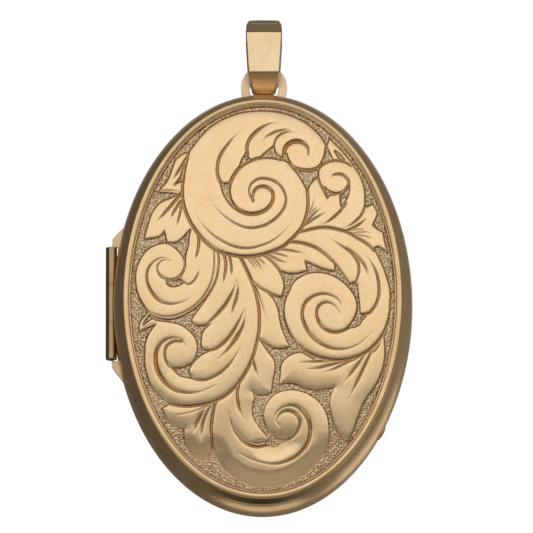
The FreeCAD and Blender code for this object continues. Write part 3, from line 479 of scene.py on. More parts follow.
def stroke(field, pts, reach, widths=None, target=None):
    """Lowers field to the distance from the line; with widths, target gets
    the stroke's depth profile as well."""
    n = len(pts) - 1
    for k in range(n):
        a, b = pts[k], pts[k + 1]
        w = window(min(a[0], b[0]) - reach, max(a[0], b[0]) + reach,
                   min(a[1], b[1]) - reach, max(a[1], b[1]) + reach)
        px, pz = X[w] - a[0], Z[w] - a[1]
        dx, dz = b - a
        ll = dx * dx + dz * dz
        if ll == 0:
            continue
        t = np.clip((px * dx + pz * dz) / ll, 0, 1)
        d = np.hypot(px - t * dx, pz - t * dz)
        if widths is None:
            field[w] = np.minimum(field[w], d)
        else:
            half = (widths[k] + (widths[k + 1] - widths[k]) * t) / 2
            away = np.maximum(d - half, 0)
            soft = np.clip(half / 0.12, 0, 1) * (0.022 * np.exp(-away / 0.30) + 0.012 * np.exp(-away / 0.09))
            field[w] = np.maximum(field[w], soft)
            groove = np.where(d < half * 1.25,
                              (0.5 + 0.5 * np.cos(np.pi * np.clip(d / (half * 1.25), 0, 1)))
                              * 0.85 * half, 0.0)
            target[w] = np.maximum(target[w], groove)


FAR = 2.0
edge = np.full(X.shape, FAR)       # distance to any outline of the raised work
near = np.zeros(X.shape)           # softening beside each stroke, deeper by the wide ones
cut = np.zeros(X.shape)
leaf_line = curve(LEAF, True)
ground = ~inside(leaf_line)
stroke(edge, np.vstack([leaf_line, leaf_line[:1]]), 1.6)
for q in POCKETS:
    line = curve(q, True)
    ground |= inside(line)
    stroke(edge, np.vstack([line, line[:1]]), 1.6)
for w0, w1, w2, q in CUTS:
    line = curve(q, False)
    s = np.linspace(0, 1, len(line))
    width = np.where(s < 0.5, w0 + (w1 - w0) * smooth(s * 2), w1 + (w2 - w1) * smooth(s * 2 - 1))
    stroke(near, line, 1.4, width, cut)

signed = np.where(ground, edge, -edge)
sunk = smooth((signed + 0.07) / 0.15)                    # 0 on leaves, 1 on ground
q = (X / PLATE_A) ** 2 + (Z / PLATE_B) ** 2
margin = (1 - np.sqrt(np.clip(q, 0, 1))) * 0.5 * (PLATE_A + PLATE_B) * np.hypot(X / PLATE_A, Z / PLATE_B) \
    / np.maximum(np.hypot(X / PLATE_A * PLATE_B, Z / PLATE_B * PLATE_A) / (0.5 * (PLATE_A + PLATE_B)), 1e-6)
margin = np.clip(margin, 0, 3)                            # about the distance in from the plate's edge, mm
border = 1 - smooth((margin - 0.10) / 0.06)               # plain raised border
sunk = sunk * (1 - border)
dist = np.where(ground, FAR, edge)
pillow = np.maximum(near, 0.034 * np.exp(-dist / 0.34) + 0.016 * np.exp(-dist / 0.10))
shade_in = smooth(1 - np.minimum(edge, 1.6) / 1.6)
roll = shade_in * (0.18 * smooth((-Z - 12.8) / 3.2) + 0.035 * smooth((-Z - 3.0) / 8.0))   # the lower work rolls off to its outlines
peen = cells(X, Z, 0.25, 3)
pits = np.exp(-(peen / 0.085) ** 2)
fine = value_noise(X, Z, 0.11, 5) - 0.5
matting = -0.052 * pits + 0.035 * fine + 0.03 * (value_noise(X, Z, 0.5, 11) - 0.5)
hand = 0.006 * (value_noise(X, Z, 1.4, 21) - 0.5)         # slight hand-cut unevenness
ride_up = np.exp(-np.maximum(edge, 0) / 0.10)             # darker toe beside each wall
leaf_h = -pillow - cut + hand - 0.004 - roll
ground_h = -0.135 - 0.06 * smooth((-Z - 12.8) / 3.2) + matting * (1 - 0.5 * ride_up) - 0.02 * ride_up
height = leaf_h * (1 - sunk) + ground_h * sunk
border_line = np.exp(-((margin - 0.19) / 0.055) ** 2)
height = height * (1 - border) - 0.004 * border - 0.05 * border_line
height = np.minimum(height, -0.002)
height = np.maximum(height, -0.335)

# ------------------------------------------------------------ front plate mesh
def dome(x, z, edge_y, rise):
    return edge_y + rise * np.clip(1 - (x / PLATE_A) ** 2 - (z / PLATE_B) ** 2, 0, 1)


def make(name, verts, faces, body, material, smooth_faces=True):
    me = bpy.data.meshes.new(name)
    v = np.asarray(verts, float).copy()
    v[:, 2] += LIFT
    me.from_pydata((v * MM).tolist(), [], faces)
    me.update()
    ob = bpy.data.objects.new(name, me)
    scene.collection.objects.link(ob)
    if smooth_faces:
        me.polygons.foreach_set("use_smooth", [True] * len(me.polygons))
    me.materials.append(material)
    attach(ob, body)
    return ob


# ------------------------------------------------------------------ materials
def gold(name, base, rough, tint, rough_var=0.08, grain=900.0, grain_depth=0.006,
         streak=(1.0, 1.0, 1.0), cavity=None, wear=0.5, scratch=0.0):
    m = bpy.data.materials.new(name)
    m.use_nodes = True
    nt = m.node_tree
    N, L = nt.nodes, nt.links
    for n in list(N):
        N.remove(n)
    out = N.new("ShaderNodeOutputMaterial")
    b = N.new("ShaderNodeBsdfPrincipled")
    L.new(b.outputs[0], out.inputs[0])
    b.inputs["Metallic"].default_value = 1.0
    tc = N.new("ShaderNodeTexCoord")
    cloud = N.new("ShaderNodeTexNoise")
    cloud.inputs["Scale"].default_value = 420.0
    cloud.inputs["Detail"].default_value = 4.0
    L.new(tc.outputs["Object"], cloud.inputs["Vector"])
    mix = N.new("ShaderNodeMix"); mix.data_type = "RGBA"
    mix.inputs["A"].default_value = (*base, 1)
    mix.inputs["B"].default_value = (*tint, 1)
    ramp = N.new("ShaderNodeMapRange")
    ramp.inputs["From Min"].default_value = 0.35
    ramp.inputs["From Max"].default_value = 0.70
    L.new(cloud.outputs["Fac"], ramp.inputs["Value"])
    L.new(ramp.outputs["Result"], mix.inputs["Factor"])
    colour = mix.outputs["Result"]
    # fine grain of the satin finish
    mp = N.new("ShaderNodeMapping")
    mp.inputs["Scale"].default_value = streak
    L.new(tc.outputs["Object"], mp.inputs["Vector"])
    g = N.new("ShaderNodeTexNoise")
    g.inputs["Scale"].default_value = grain
    g.inputs["Detail"].default_value = 6.0
    g.inputs["Roughness"].default_value = 0.65
    L.new(mp.outputs["Vector"], g.inputs["Vector"])
    r = N.new("ShaderNodeMapRange")
    r.inputs["From Min"].default_value = 0.3
    r.inputs["From Max"].default_value = 0.7
    r.inputs["To Min"].default_value = rough - rough_var / 2
    r.inputs["To Max"].default_value = rough + rough_var / 2
    L.new(g.outputs["Fac"], r.inputs["Value"])
    rough_out = r.outputs["Result"]
    if cavity:
        at = N.new("ShaderNodeAttribute"); at.attribute_name = "relief"
        sep = N.new("ShaderNodeSeparateColor")
        L.new(at.outputs["Color"], sep.inputs["Color"])
        # relief channels: Green is the matted ground's own tone, Red is painted shade in the cuts and along outlines,
        # Blue is painted shade in the matting pits
        for channel, tone in (("Green", cavity["ground"]), ("Red", cavity["cut"]), ("Blue", cavity["pit"])):
            c = N.new("ShaderNodeMix"); c.data_type = "RGBA"
            L.new(colour, c.inputs["A"])
            c.inputs["B"].default_value = (*tone, 1)
            L.new(sep.outputs[channel], c.inputs["Factor"])
            colour = c.outputs["Result"]
        ra = N.new("ShaderNodeMath"); ra.operation = "MULTIPLY_ADD"
        L.new(sep.outputs["Green"], ra.inputs[0])
        ra.inputs[1].default_value = 0.14
        L.new(rough_out, ra.inputs[2])
        rough_out = ra.outputs[0]
    # edges wear bright
    geo = N.new("ShaderNodeNewGeometry")
    pr = N.new("ShaderNodeMapRange")
    pr.inputs["From Min"].default_value = 0.505
    pr.inputs["From Max"].default_value = 0.58
    pr.inputs["To Max"].default_value = wear
    L.new(geo.outputs["Pointiness"], pr.inputs["Value"])
    w = N.new("ShaderNodeMix"); w.data_type = "RGBA"
    L.new(pr.outputs["Result"], w.inputs["Factor"])
    L.new(colour, w.inputs["A"])
    w.inputs["B"].default_value = (min(base[0] * 1.06, 1), min(base[1] * 1.10, 1), min(base[2] * 1.2, 1), 1)
    colour = w.outputs["Result"]
    bump = N.new("ShaderNodeBump")
    bump.inputs["Strength"].default_value = 0.35
    bump.inputs["Distance"].default_value = grain_depth * MM
    L.new(g.outputs["Fac"], bump.inputs["Height"])
    normal = bump.outputs["Normal"]
    if scratch:
        sm = N.new("ShaderNodeMapping")
        sm.inputs["Rotation"].default_value = (0.3, 0.7, 0.5)
        sm.inputs["Scale"].default_value = (60.0, 60.0, 1600.0)
        L.new(tc.outputs["Object"], sm.inputs["Vector"])
        sn = N.new("ShaderNodeTexNoise")
        sn.inputs["Scale"].default_value = 1.0
        sn.inputs["Detail"].default_value = 3.0
        L.new(sm.outputs["Vector"], sn.inputs["Vector"])
        b2 = N.new("ShaderNodeBump")
        b2.inputs["Strength"].default_value = scratch
        b2.inputs["Distance"].default_value = 0.010 * MM
        L.new(sn.outputs["Fac"], b2.inputs["Height"])
        L.new(normal, b2.inputs["Normal"])
        normal = b2.outputs["Normal"]
    L.new(colour, b.inputs["Base Color"])
    L.new(rough_out, b.inputs["Roughness"])
    L.new(normal, b.inputs["Normal"])
    return m


GOLD = (0.93, 0.66, 0.36)
WARM = (0.88, 0.58, 0.28)
# engraved gold: the cut and pit tones are painted shade
M_engraved = gold("engraved_gold", (0.96, 0.71, 0.42), 0.25, (0.93, 0.66, 0.36), grain=2600.0,
                  grain_depth=0.0012,
                  cavity={"ground": (0.98, 0.71, 0.43), "cut": (0.60, 0.31, 0.10), "pit": (0.15, 0.07, 0.03)})
M_satin = gold("satin_gold", GOLD, 0.30, WARM, grain=500.0, grain_depth=0.010,
               streak=(0.5, 7.0, 0.5), scratch=0.25)
M_back = gold("back_gold", GOLD, 0.19, (0.915, 0.64, 0.335), grain=1800.0, grain_depth=0.0012, scratch=0.10)
M_polish = gold("polished_gold", (0.94, 0.70, 0.41), 0.20, GOLD, grain=1500.0, grain_depth=0.003, scratch=0.15)
M_inner = gold("inner_gold", (0.92, 0.64, 0.34), 0.34, (0.84, 0.53, 0.26), grain=1000.0, grain_depth=0.010, scratch=0.3)
# lug, hinge fins and nail catch: darker, duller copies of the gold, as painted shade
M_lug_shaded = gold("lug_gold_shaded", (0.92, 0.70, 0.45), 0.36, (0.73, 0.52, 0.31), grain=1300.0, grain_depth=0.014, scratch=0.3)
M_fin_shaded = gold("fin_gold_shaded", (0.76, 0.56, 0.34), 0.34, (0.66, 0.46, 0.26), grain=1300.0, grain_depth=0.010, scratch=0.3)
# hinge tubes and pin: the gold painted much darker, as painted shade
M_hinge_shaded = gold("hinge_gold", (0.44, 0.32, 0.18), 0.20, (0.32, 0.22, 0.12), grain=900.0,
               grain_depth=0.008, streak=(5.0, 5.0, 0.6), scratch=0.2)
M_bail = gold("bail_gold", (0.95, 0.73, 0.46), 0.27, (0.91, 0.66, 0.38), grain=700.0,
              grain_depth=0.005, streak=(4.0, 4.0, 0.5), scratch=0.15)


def card_material():
    m = bpy.data.materials.new("card")
    m.use_nodes = True
    N, L = m.node_tree.nodes, m.node_tree.links
    b = N["Principled BSDF"]
    tc = N.new("ShaderNodeTexCoord")
    n = N.new("ShaderNodeTexNoise"); n.inputs["Scale"].default_value = 2200.0; n.inputs["Detail"].default_value = 8.0
    f = N.new("ShaderNodeTexNoise"); f.inputs["Scale"].default_value = 160.0; f.inputs["Detail"].default_value = 3.0
    L.new(tc.outputs["Object"], n.inputs["Vector"]); L.new(tc.outputs["Object"], f.inputs["Vector"])
    mx = N.new("ShaderNodeMix"); mx.data_type = "RGBA"
    mx.inputs["A"].default_value = (0.92, 0.88, 0.79, 1); mx.inputs["B"].default_value = (0.86, 0.81, 0.70, 1)
    L.new(f.outputs["Fac"], mx.inputs["Factor"])
    L.new(mx.outputs["Result"], b.inputs["Base Color"])
    r = N.new("ShaderNodeMapRange"); r.inputs["To Min"].default_value = 0.72; r.inputs["To Max"].default_value = 0.9
    L.new(n.outputs["Fac"], r.inputs["Value"]); L.new(r.outputs["Result"], b.inputs["Roughness"])
    bp = N.new("ShaderNodeBump"); bp.inputs["Strength"].default_value = 0.4; bp.inputs["Distance"].default_value = 0.02 * MM
    L.new(n.outputs["Fac"], bp.inputs["Height"]); L.new(bp.outputs["Normal"], b.inputs["Normal"])
    return m


def window_material():
    m = bpy.data.materials.new("window")
    m.use_nodes = True
    N, L = m.node_tree.nodes, m.node_tree.links
    b = N["Principled BSDF"]
    b.inputs["Alpha"].default_value = 0.14
    b.inputs["IOR"].default_value = 1.49
    tc = N.new("ShaderNodeTexCoord")
    n = N.new("ShaderNodeTexNoise"); n.inputs["Scale"].default_value = 300.0; n.inputs["Detail"].default_value = 5.0
    L.new(tc.outputs["Object"], n.inputs["Vector"])
    r = N.new("ShaderNodeMapRange"); r.inputs["To Min"].default_value = 0.01; r.inputs["To Max"].default_value = 0.06
    L.new(n.outputs["Fac"], r.inputs["Value"]); L.new(r.outputs["Result"], b.inputs["Roughness"])
    mx = N.new("ShaderNodeMix"); mx.data_type = "RGBA"
    mx.inputs["A"].default_value = (0.98, 0.98, 0.96, 1); mx.inputs["B"].default_value = (0.93, 0.93, 0.88, 1)
    L.new(n.outputs["Fac"], mx.inputs["Factor"]); L.new(mx.outputs["Result"], b.inputs["Base Color"])
    return m


M_card, M_window = card_material(), window_material()

# ------------------------------------------------------------ front plate mesh
keep = q <= 1.0
idx = -np.ones(X.shape, int)
use = np.zeros(X.shape, bool)
cell_on = keep[:-1, :-1] | keep[1:, :-1] | keep[:-1, 1:] | keep[1:, 1:]
use[:-1, :-1] |= cell_on; use[1:, :-1] |= cell_on; use[:-1, 1:] |= cell_on; use[1:, 1:] |= cell_on
scale = np.where(keep, 1.0, 1.0 / np.sqrt(np.maximum(q, 1e-9)))
PX, PZ = X * scale, Z * scale
rim_pts = use & ~keep
idx[use] = np.arange(use.sum())
DY = dome(PX, PZ, 2.65, 0.85)
verts = np.column_stack([PX[use], -(DY[use] + np.where(rim_pts, -0.006, height)[use]), PZ[use]])
jj, ii = np.where(cell_on)
quads = np.column_stack([idx[jj, ii], idx[jj, ii + 1], idx[jj + 1, ii + 1], idx[jj + 1, ii]])
faces = quads.tolist()
ring = idx[rim_pts]
ang = np.arctan2(verts[ring, 2] / PLATE_B, verts[ring, 0] / PLATE_A)
ring = ring[np.argsort(ang, kind="stable")]
base_n = len(verts)
extra, last = [], ring
for k, (sc, back) in enumerate(((1.0, 0.40), (0.72, 0.40), (0.40, 0.40), (0.12, 0.40))):
    rx, rz = verts[ring, 0] * sc, verts[ring, 2] * sc
    extra.append(np.column_stack([rx, -(dome(rx, rz, 2.65, 0.85) - back), rz]))
    new = base_n + k * len(ring) + np.arange(len(ring))
    a, b = last, new
    faces += np.column_stack([a, b, np.roll(b, -1), np.roll(a, -1)]).tolist()
    last = new
verts = np.vstack([verts] + extra)
faces.append(last.tolist())
plate = make("front_plate_relief", verts, faces, "front_half", M_engraved)
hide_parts("front_cover_plate")
me = plate.data
bm = bmesh.new(); bm.from_mesh(me)
bmesh.ops.remove_doubles(bm, verts=bm.verts, dist=0.2e-6)
bmesh.ops.recalc_face_normals(bm, faces=bm.faces)
col = bm.loops.layers.color.get("relief")
bm.to_mesh(me); bm.free()
co = np.zeros(len(me.vertices) * 3); me.vertices.foreach_get("co", co); co = co.reshape(-1, 3) / MM
vi = np.clip(np.rint((co[:, 0] - gx[0]) / STEP).astype(int), 0, len(gx) - 1)
vj = np.clip(np.rint((co[:, 2] - LIFT - gz[0]) / STEP).astype(int), 0, len(gz) - 1)
# Red channel is painted shade: orange-brown in the graver cuts, round every raised outline and in the border groove.
outline_shade = np.exp(-(edge / 0.075) ** 2)                    # painted shade: a dark line round every raised shape
border_groove_shade = border_line * 0.95
cut_shade_tone = np.clip(np.clip(cut / 0.075, 0, 1) * 0.85 * (1 - sunk) + 0.75 * outline_shade + 0.9 * border_groove_shade, 0, 1)
# Blue channel is painted shade: near-black in the pits of the matted ground.
pit_shade_tone = np.clip(sunk * (0.95 * pits * (0.35 + 0.9 * value_noise(X, Z, 0.6, 31)) ), 0, 1)
front = (co[:, 1] < -2.40)
rgba = np.ones((len(co), 4), np.float32)
rgba[:, 0] = np.where(front, cut_shade_tone[vj, vi], 0)
rgba[:, 1] = np.where(front, sunk[vj, vi], 0)
rgba[:, 2] = np.where(front, pit_shade_tone[vj, vi], 0)
attr = me.color_attributes.new("relief", "FLOAT_COLOR", "POINT")
attr.data.foreach_set("color", rgba.ravel())


# ---------------------------------------------------------------- rims
def rounded(profile, n=7):
    """Closed profile: plain points are passed through smoothly, points marked
    with a third value are corners with that radius."""
    p = [np.array(q[:2], float) for q in profile]
    r = [q[2] if len(q) > 2 else None for q in profile]
    m, out = len(p), []
    for i in range(m):
        a, b, c = p[i - 1], p[i], p[(i + 1) % m]
        if r[i] is None:
            out.append(b)
            continue
        da, dc = a - b, c - b
        la, lc = np.hypot(*da), np.hypot(*dc)
        rr = min(r[i], la * 0.45, lc * 0.45)
        s, e = b + da / la * rr, b + dc / lc * rr
        for k in range(n + 1):
            t = k / n
            out.append((1 - t) ** 2 * s + 2 * t * (1 - t) * b + t * t * e)
    dense = []
    for i in range(len(out)):
        a, b = out[i], out[(i + 1) % len(out)]
        k = max(1, int(math.ceil(np.hypot(*(b - a)) / 0.10)))
        for j in range(k):
            dense.append(a + (b - a) * j / k)
    return np.array(dense)


def ring_mesh(name, profile, body, material, n=720, notch=None, flip=False):
    prof = rounded(profile)
    th = np.linspace(0, 2 * np.pi, n, endpoint=False)
    c, s = np.cos(th), np.sin(th)
    v = []
    for inset, y in prof:
        v.append(np.column_stack([(HALF_W - inset) * c, np.full(n, y), (HALF_H - inset) * s]))
    v = np.vstack(v)
    if notch:
        dx, dy = v[:, 0] + 14.15, v[:, 1]
        d = np.hypot(dx, dy)
        hit = (d < notch) & (v[:, 2] > -5.25) & (v[:, 2] < 5.60)
        safe = np.maximum(d, 1e-6)
        v[hit, 0] = -14.15 + (dx / safe * notch)[hit]
        v[hit, 1] = (dy / safe * notch)[hit]
    m = len(prof)
    i = np.arange(n)
    faces = []
    for k in range(m):
        a, b = k * n, ((k + 1) % m) * n
        faces += np.column_stack([a + i, a + (i + 1) % n, b + (i + 1) % n, b + i]).tolist()
    ob = make(name, v, faces, body, material)
    bm = bmesh.new(); bm.from_mesh(ob.data)
    bmesh.ops.recalc_face_normals(bm, faces=bm.faces)
    bm.to_mesh(ob.data); bm.free()
    return ob


front_profile = [
    (0.0, -0.03, 0.03), (0.012, -0.25), (0.05, -0.70), (0.11, -1.06), (0.20, -1.40), (0.35, -1.76),
    (0.545, -2.125, 0.03), (0.90, -2.62, 0.03), (0.955, -2.73, 0.02), (1.02, -2.775), (1.10, -2.795),
    (1.20, -2.80), (1.33, -2.785), (1.45, -2.745), (1.535, -2.69, 0.01), (1.535, -2.656, 0.005), (1.50, -2.650, 0.005), (1.50, -2.23, 0.01),
    (1.90, -2.22, 0.02), (1.90, -1.51, 0.03), (0.61, -1.50, 0.03), (0.61, -0.03, 0.03)]
rim_front = ring_mesh("front_rim_turned", front_profile, "front_half", M_satin, notch=0.62)
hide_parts("front_rim")

back_profile = [
    (0.0, 0.0, 0.03), (0.012, 0.25), (0.05, 0.70), (0.11, 1.06), (0.20, 1.40), (0.34, 1.80),
    (0.55, 2.15, 0.10), (0.75, 2.31), (0.95, 2.455), (1.12, 2.54), (1.28, 2.60), (1.40, 2.625), (1.485, 2.62, 0.02),
    (1.50, 2.50), (1.50, 2.13, 0.02), (1.90, 2.12, 0.02), (1.90, 1.31, 0.03), (0.69, 1.30, 0.03), (0.69, 0.0, 0.03)]
rim_back = ring_mesh("back_rim_turned", back_profile, "back_half", M_satin, notch=0.535)
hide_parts("back_rim")


def oval_disc(name, a, b, top, under, body, material, rings=26, n=360, sign=1.0):
    """A domed oval plate: top(q) and under(q) give y for q = 0 at the centre
    to 1 at the edge."""
    th = np.linspace(0, 2 * np.pi, n, endpoint=False)
    t = np.linspace(1, 0, rings + 1)[:-1]
    v, faces = [], []
    def layer(fn, ts):
        for r in ts:
            v.append(np.column_stack([a * r * np.cos(th), np.full(n, fn(r)), b * r * np.sin(th)]))
    up = np.concatenate([[1.0 - 0.0], t[1:]])
    layer(top, [0.9985]); layer(top, up[1:] if len(up) > 1 else [])
    k_top = len(v)
    layer(under, [0.9985]); layer(under, up[1:])
    k_all = len(v)
    i = np.arange(n)
    def strip(p, q_):
        return np.column_stack([p * n + i, p * n + (i + 1) % n, q_ * n + (i + 1) % n, q_ * n + i]).tolist()
    for k in range(k_top - 1):
        faces += strip(k, k + 1)
    for k in range(k_top, k_all - 1):
        faces += strip(k + 1, k)
    vv = np.vstack(v)
    side = np.column_stack([a * np.cos(th), np.full(n, (top(1) * 0.9 + under(1) * 0.1)), b * np.sin(th)])
    side2 = np.column_stack([a * np.cos(th), np.full(n, (top(1) * 0.1 + under(1) * 0.9)), b * np.sin(th)])
    s0 = k_all
    vv = np.vstack([vv, side, side2])
    faces += strip(s0, 0)
    faces += strip(s0 + 1, s0)
    faces += strip(k_top, s0 + 1)
    c0, c1 = len(vv), len(vv) + 1
    vv = np.vstack([vv, [[0, top(0), 0], [0, under(0), 0]]])
    e0, e1 = (k_top - 1) * n, (k_all - 1) * n
    faces += [[e0 + j, e0 + (j + 1) % n, c0] for j in range(n)]
    faces += [[e1 + (j + 1) % n, e1 + j, c1] for j in range(n)]
    ob = make(name, vv, faces, body, material)
    bm = bmesh.new(); bm.from_mesh(ob.data)
    bmesh.ops.recalc_face_normals(bm, faces=bm.faces)
    bm.to_mesh(ob.data); bm.free()
    return ob


back_plate = oval_disc("back_plate_domed", PLATE_A, PLATE_B,
                       lambda r: 2.65 + 0.75 * (1 - r * r), lambda r: 2.15 + 0.75 * (1 - r * r),
                       "back_half", M_back)
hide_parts("back_cover_plate")

# ---------------------------------------------------------------- photo frames
frame_f = ring_mesh("front_frame_rolled", [
    (0.63, -1.095, 0.02), (0.625, -0.74, 0.04), (1.00, -0.725), (1.30, -0.725), (1.52, -0.74), (1.68, -0.79),
    (1.78, -0.88, 0.04), (1.86, -0.97), (1.99, -1.095, 0.02)],
    "front_half", M_inner, n=480)
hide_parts("front_photo_frame")
frame_b = ring_mesh("back_frame_rolled", [
    (0.98, 0.905, 0.02), (0.98, 0.54, 0.02), (1.02, 0.465, 0.03), (1.35, 0.455), (1.62, 0.455), (1.84, 0.475), (1.98, 0.53),
    (2.07, 0.62, 0.04), (2.15, 0.73), (2.29, 0.905, 0.02)],
    "back_half", M_inner, n=480)
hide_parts("back_photo_frame")
lip_ring = ring_mesh("snap_lip_turned", [
    (0.735, -0.515, 0.03), (0.705, -0.44), (0.70, -0.40), (0.70, -0.02), (0.685, 0.03), (0.685, 1.015, 0.02),
    (0.945, 1.015, 0.02), (0.945, -0.515, 0.05)],
    "back_half", M_inner, n=480)
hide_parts("snap_lip")


def card_sheet(name, node, inset, y0, y1, body, material, bow=0.0):
    """A thin oval sheet, slightly bowed as a cut card or window lies."""
    a, b = HALF_W - inset, HALF_H - inset
    ob = oval_disc(name, a, b, lambda r: y0 + bow * (1 - r * r), lambda r: y1 + bow * (1 - r * r) * 0.6,
                   body, material, rings=14, n=300)
    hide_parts(node)
    return ob


card_sheet("front_card_oval", "front_photo_card", 0.76, -1.475, -1.30, "front_half", M_card, 0.012)
card_sheet("front_window_oval", "front_photo_window", 0.71, -1.265, -1.115, "front_half", M_window, 0.0)
card_sheet("back_card_oval", "back_photo_card", 1.11, 1.285, 1.11, "back_half", M_card, -0.012)
card_sheet("back_window_oval", "back_photo_window", 1.06, 1.075, 0.925, "back_half", M_window, 0.0)

# ---------------------------------------------------------------- bail
# A strap folded round into a loop: smooth line of its outer and inner faces
# (y, z) in mm, y from the bail's middle plane at 0.14 and z from the lug's
# centre; the width seen from the front changes with z.
BAIL_X, BAIL_Y, BAIL_Z = 0.12, 0.14, 21.16
half_out = [(0.0, 6.42), (0.40, 6.415), (0.72, 6.39), (0.90, 6.31), (1.12, 6.16), (1.36, 5.98), (1.50, 5.85), (1.63, 5.60), (1.80, 5.24), (1.96, 4.92),
            (1.985, 4.80), (1.99, 4.3), (1.99, 3.4), (1.99, 2.5), (1.99, 1.7), (1.985, 1.22), (1.975, 1.05), (1.90, 0.93), (1.72, 0.72), (1.45, 0.38),
            (1.16, 0.01), (0.88, -0.35), (0.60, -0.65), (0.36, -0.785), (0.15, -0.795), (0.0, -0.795)]
half_in = [(0.0, 6.03), (0.30, 6.03), (0.60, 6.00), (0.76, 5.91), (0.94, 5.79), (1.13, 5.66), (1.22, 5.56), (1.32, 5.36), (1.44, 5.10), (1.56, 4.84),
           (1.60, 4.70), (1.605, 4.3), (1.605, 3.4), (1.605, 2.5), (1.605, 1.8), (1.60, 1.35), (1.58, 1.20), (1.50, 1.08), (1.32, 0.85), (1.10, 0.57),
           (0.86, 0.26), (0.62, -0.04), (0.40, -0.30), (0.24, -0.375), (0.10, -0.375), (0.0, -0.375)]
wz = [(-0.95, 0.72), (-0.5, 1.09), (0.20, 1.25), (1.04, 1.49), (4.2, 1.68), (4.86, 1.715), (5.85, 1.655), (6.25, 1.53), (6.5, 1.36)]


def refine(line, k=4):
    return curve(line, False, k)


ho, hi = refine(half_out), refine(half_in)
loop_o = np.vstack([ho, (ho * [-1, 1])[::-1][1:-1]])
loop_i = np.vstack([hi, (hi * [-1, 1])[::-1][1:-1]])
S = len(loop_o)
sec = []           # one rounded strap section: (across -1..1, through 0 outer..1 inner)
R = 0.16
for cx, cz_, a0 in ((1, 1, -90), (1, 0, 0), (-1, 0, 90), (-1, 1, 180)):
    for k in range(6):
        sec.append((cx, cz_, math.radians(a0 + 18 * k)))
# walk: inner right corner, outer right corner, outer left, inner left, with spans between
bv = []
for k in range(S):
    o, i_ = loop_o[k], loop_i[k]
    mid_z = (o[1] + i_[1]) / 2
    hw = float(np.interp(o[1], [p[0] for p in wz], [p[1] for p in wz]))
    t = i_ - o
    th_ = np.hypot(*t)
    t = t / th_
    rr = min(R, th_ * 0.42)
    pts = []
    def corner(cx, depth, centre_depth, a_list):
        for ang_ in a_list:
            pts.append((cx * (hw - rr) + rr * math.cos(ang_), centre_depth + rr * math.sin(ang_)))
    A = [math.radians(x) for x in (0, 18, 36, 54, 72, 90)]
    corner(1, None, th_ - rr, A)
    for w_ in (0.6, 0.2, -0.2, -0.6):
        pts.append((w_ * hw, th_))
    corner(-1, None, th_ - rr, [math.radians(x) for x in (90, 108, 126, 144, 162, 180)])
    corner(-1, None, rr, [math.radians(x) for x in (180, 198, 216, 234, 252, 270)])
    for w_ in (-0.75, -0.5, -0.25, 0.0, 0.25, 0.5, 0.75):
        pts.append((w_ * (hw - rr), 0.0))
    corner(1, None, rr, [math.radians(x) for x in (270, 288, 306, 324, 342, 360)])
    for (px, pd) in pts:
        crown = 0.035 * (px / hw) ** 2 if pd < th_ * 0.5 else 0.0     # faces are very slightly crowned
        p = o + t * (pd + crown)
        bv.append((px + BAIL_X, p[0] + BAIL_Y, p[1] + BAIL_Z))
P = len(pts)
bf = []
for k in range(S):
    for j in range(P):
        bf.append([k * P + j, k * P + (j + 1) % P, ((k + 1) % S) * P + (j + 1) % P, ((k + 1) % S) * P + j])
bail = make("bail_strap", bv, bf, "bail", M_bail)
bm = bmesh.new(); bm.from_mesh(bail.data)
bmesh.ops.remove_doubles(bm, verts=bm.verts, dist=1e-7)
bmesh.ops.recalc_face_normals(bm, faces=bm.faces)
bm.to_mesh(bail.data); bm.free()
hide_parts("bail")

# ------------------------------------------- small parts kept from the frame
def dress(node, material, bevel=None):
    ob = frame["nodes"][node]
    for s in ob.material_slots:
        s.material = material
    if not ob.material_slots:
        ob.data.materials.append(material)
    if bevel:
        md = ob.modifiers.new("bevel", "BEVEL")
        md.width = bevel * MM
        md.segments = 3
        md.limit_method = "ANGLE"
        md.angle_limit = math.radians(40)
        md.harden_normals = False
    return ob


# knuckles and pin take the darker hinge gold: painted shade
for node in ("upper_knuckle", "lower_knuckle", "middle_knuckle"):
    dress(node, M_hinge_shaded, 0.05)
dress("hinge_pin", M_hinge_shaded, 0.05)
# fins, nail catch and lug take the darker gold copies: painted shade
dress("upper_hinge_fin", M_fin_shaded, 0.09)
dress("lower_hinge_fin", M_fin_shaded, 0.09)
dress("nail_catch", M_fin_shaded)
dress("bail_lug", M_lug_shaded, 0.10)
dress("snap_pip_upper", M_inner, 0.04)
dress("snap_pip_lower", M_inner, 0.04)

# ---------------------------------------------------------------- stage
floor_me = bpy.data.meshes.new("floor")
F = 6.0
floor_me.from_pydata([(-F, -F, -0.62), (F, -F, -0.62), (F, F, -0.62), (-F, F, -0.62)], [], [(0, 1, 2, 3)])
floor = bpy.data.objects.new("floor", floor_me)
scene.collection.objects.link(floor)
fm = bpy.data.materials.new("floor_paper"); fm.use_nodes = True
fb = fm.node_tree.nodes["Principled BSDF"]
fn = fm.node_tree.nodes.new("ShaderNodeTexNoise"); fn.inputs["Scale"].default_value = 30.0
fr = fm.node_tree.nodes.new("ShaderNodeMix"); fr.data_type = "RGBA"
fr.inputs["A"].default_value = (0.86, 0.85, 0.83, 1); fr.inputs["B"].default_value = (0.89, 0.88, 0.86, 1)
fm.node_tree.links.new(fn.outputs["Fac"], fr.inputs["Factor"])
fm.node_tree.links.new(fr.outputs["Result"], fb.inputs["Base Color"])
fb.inputs["Roughness"].default_value = 0.9
floor_me.materials.append(fm)
floor.visible_glossy = False

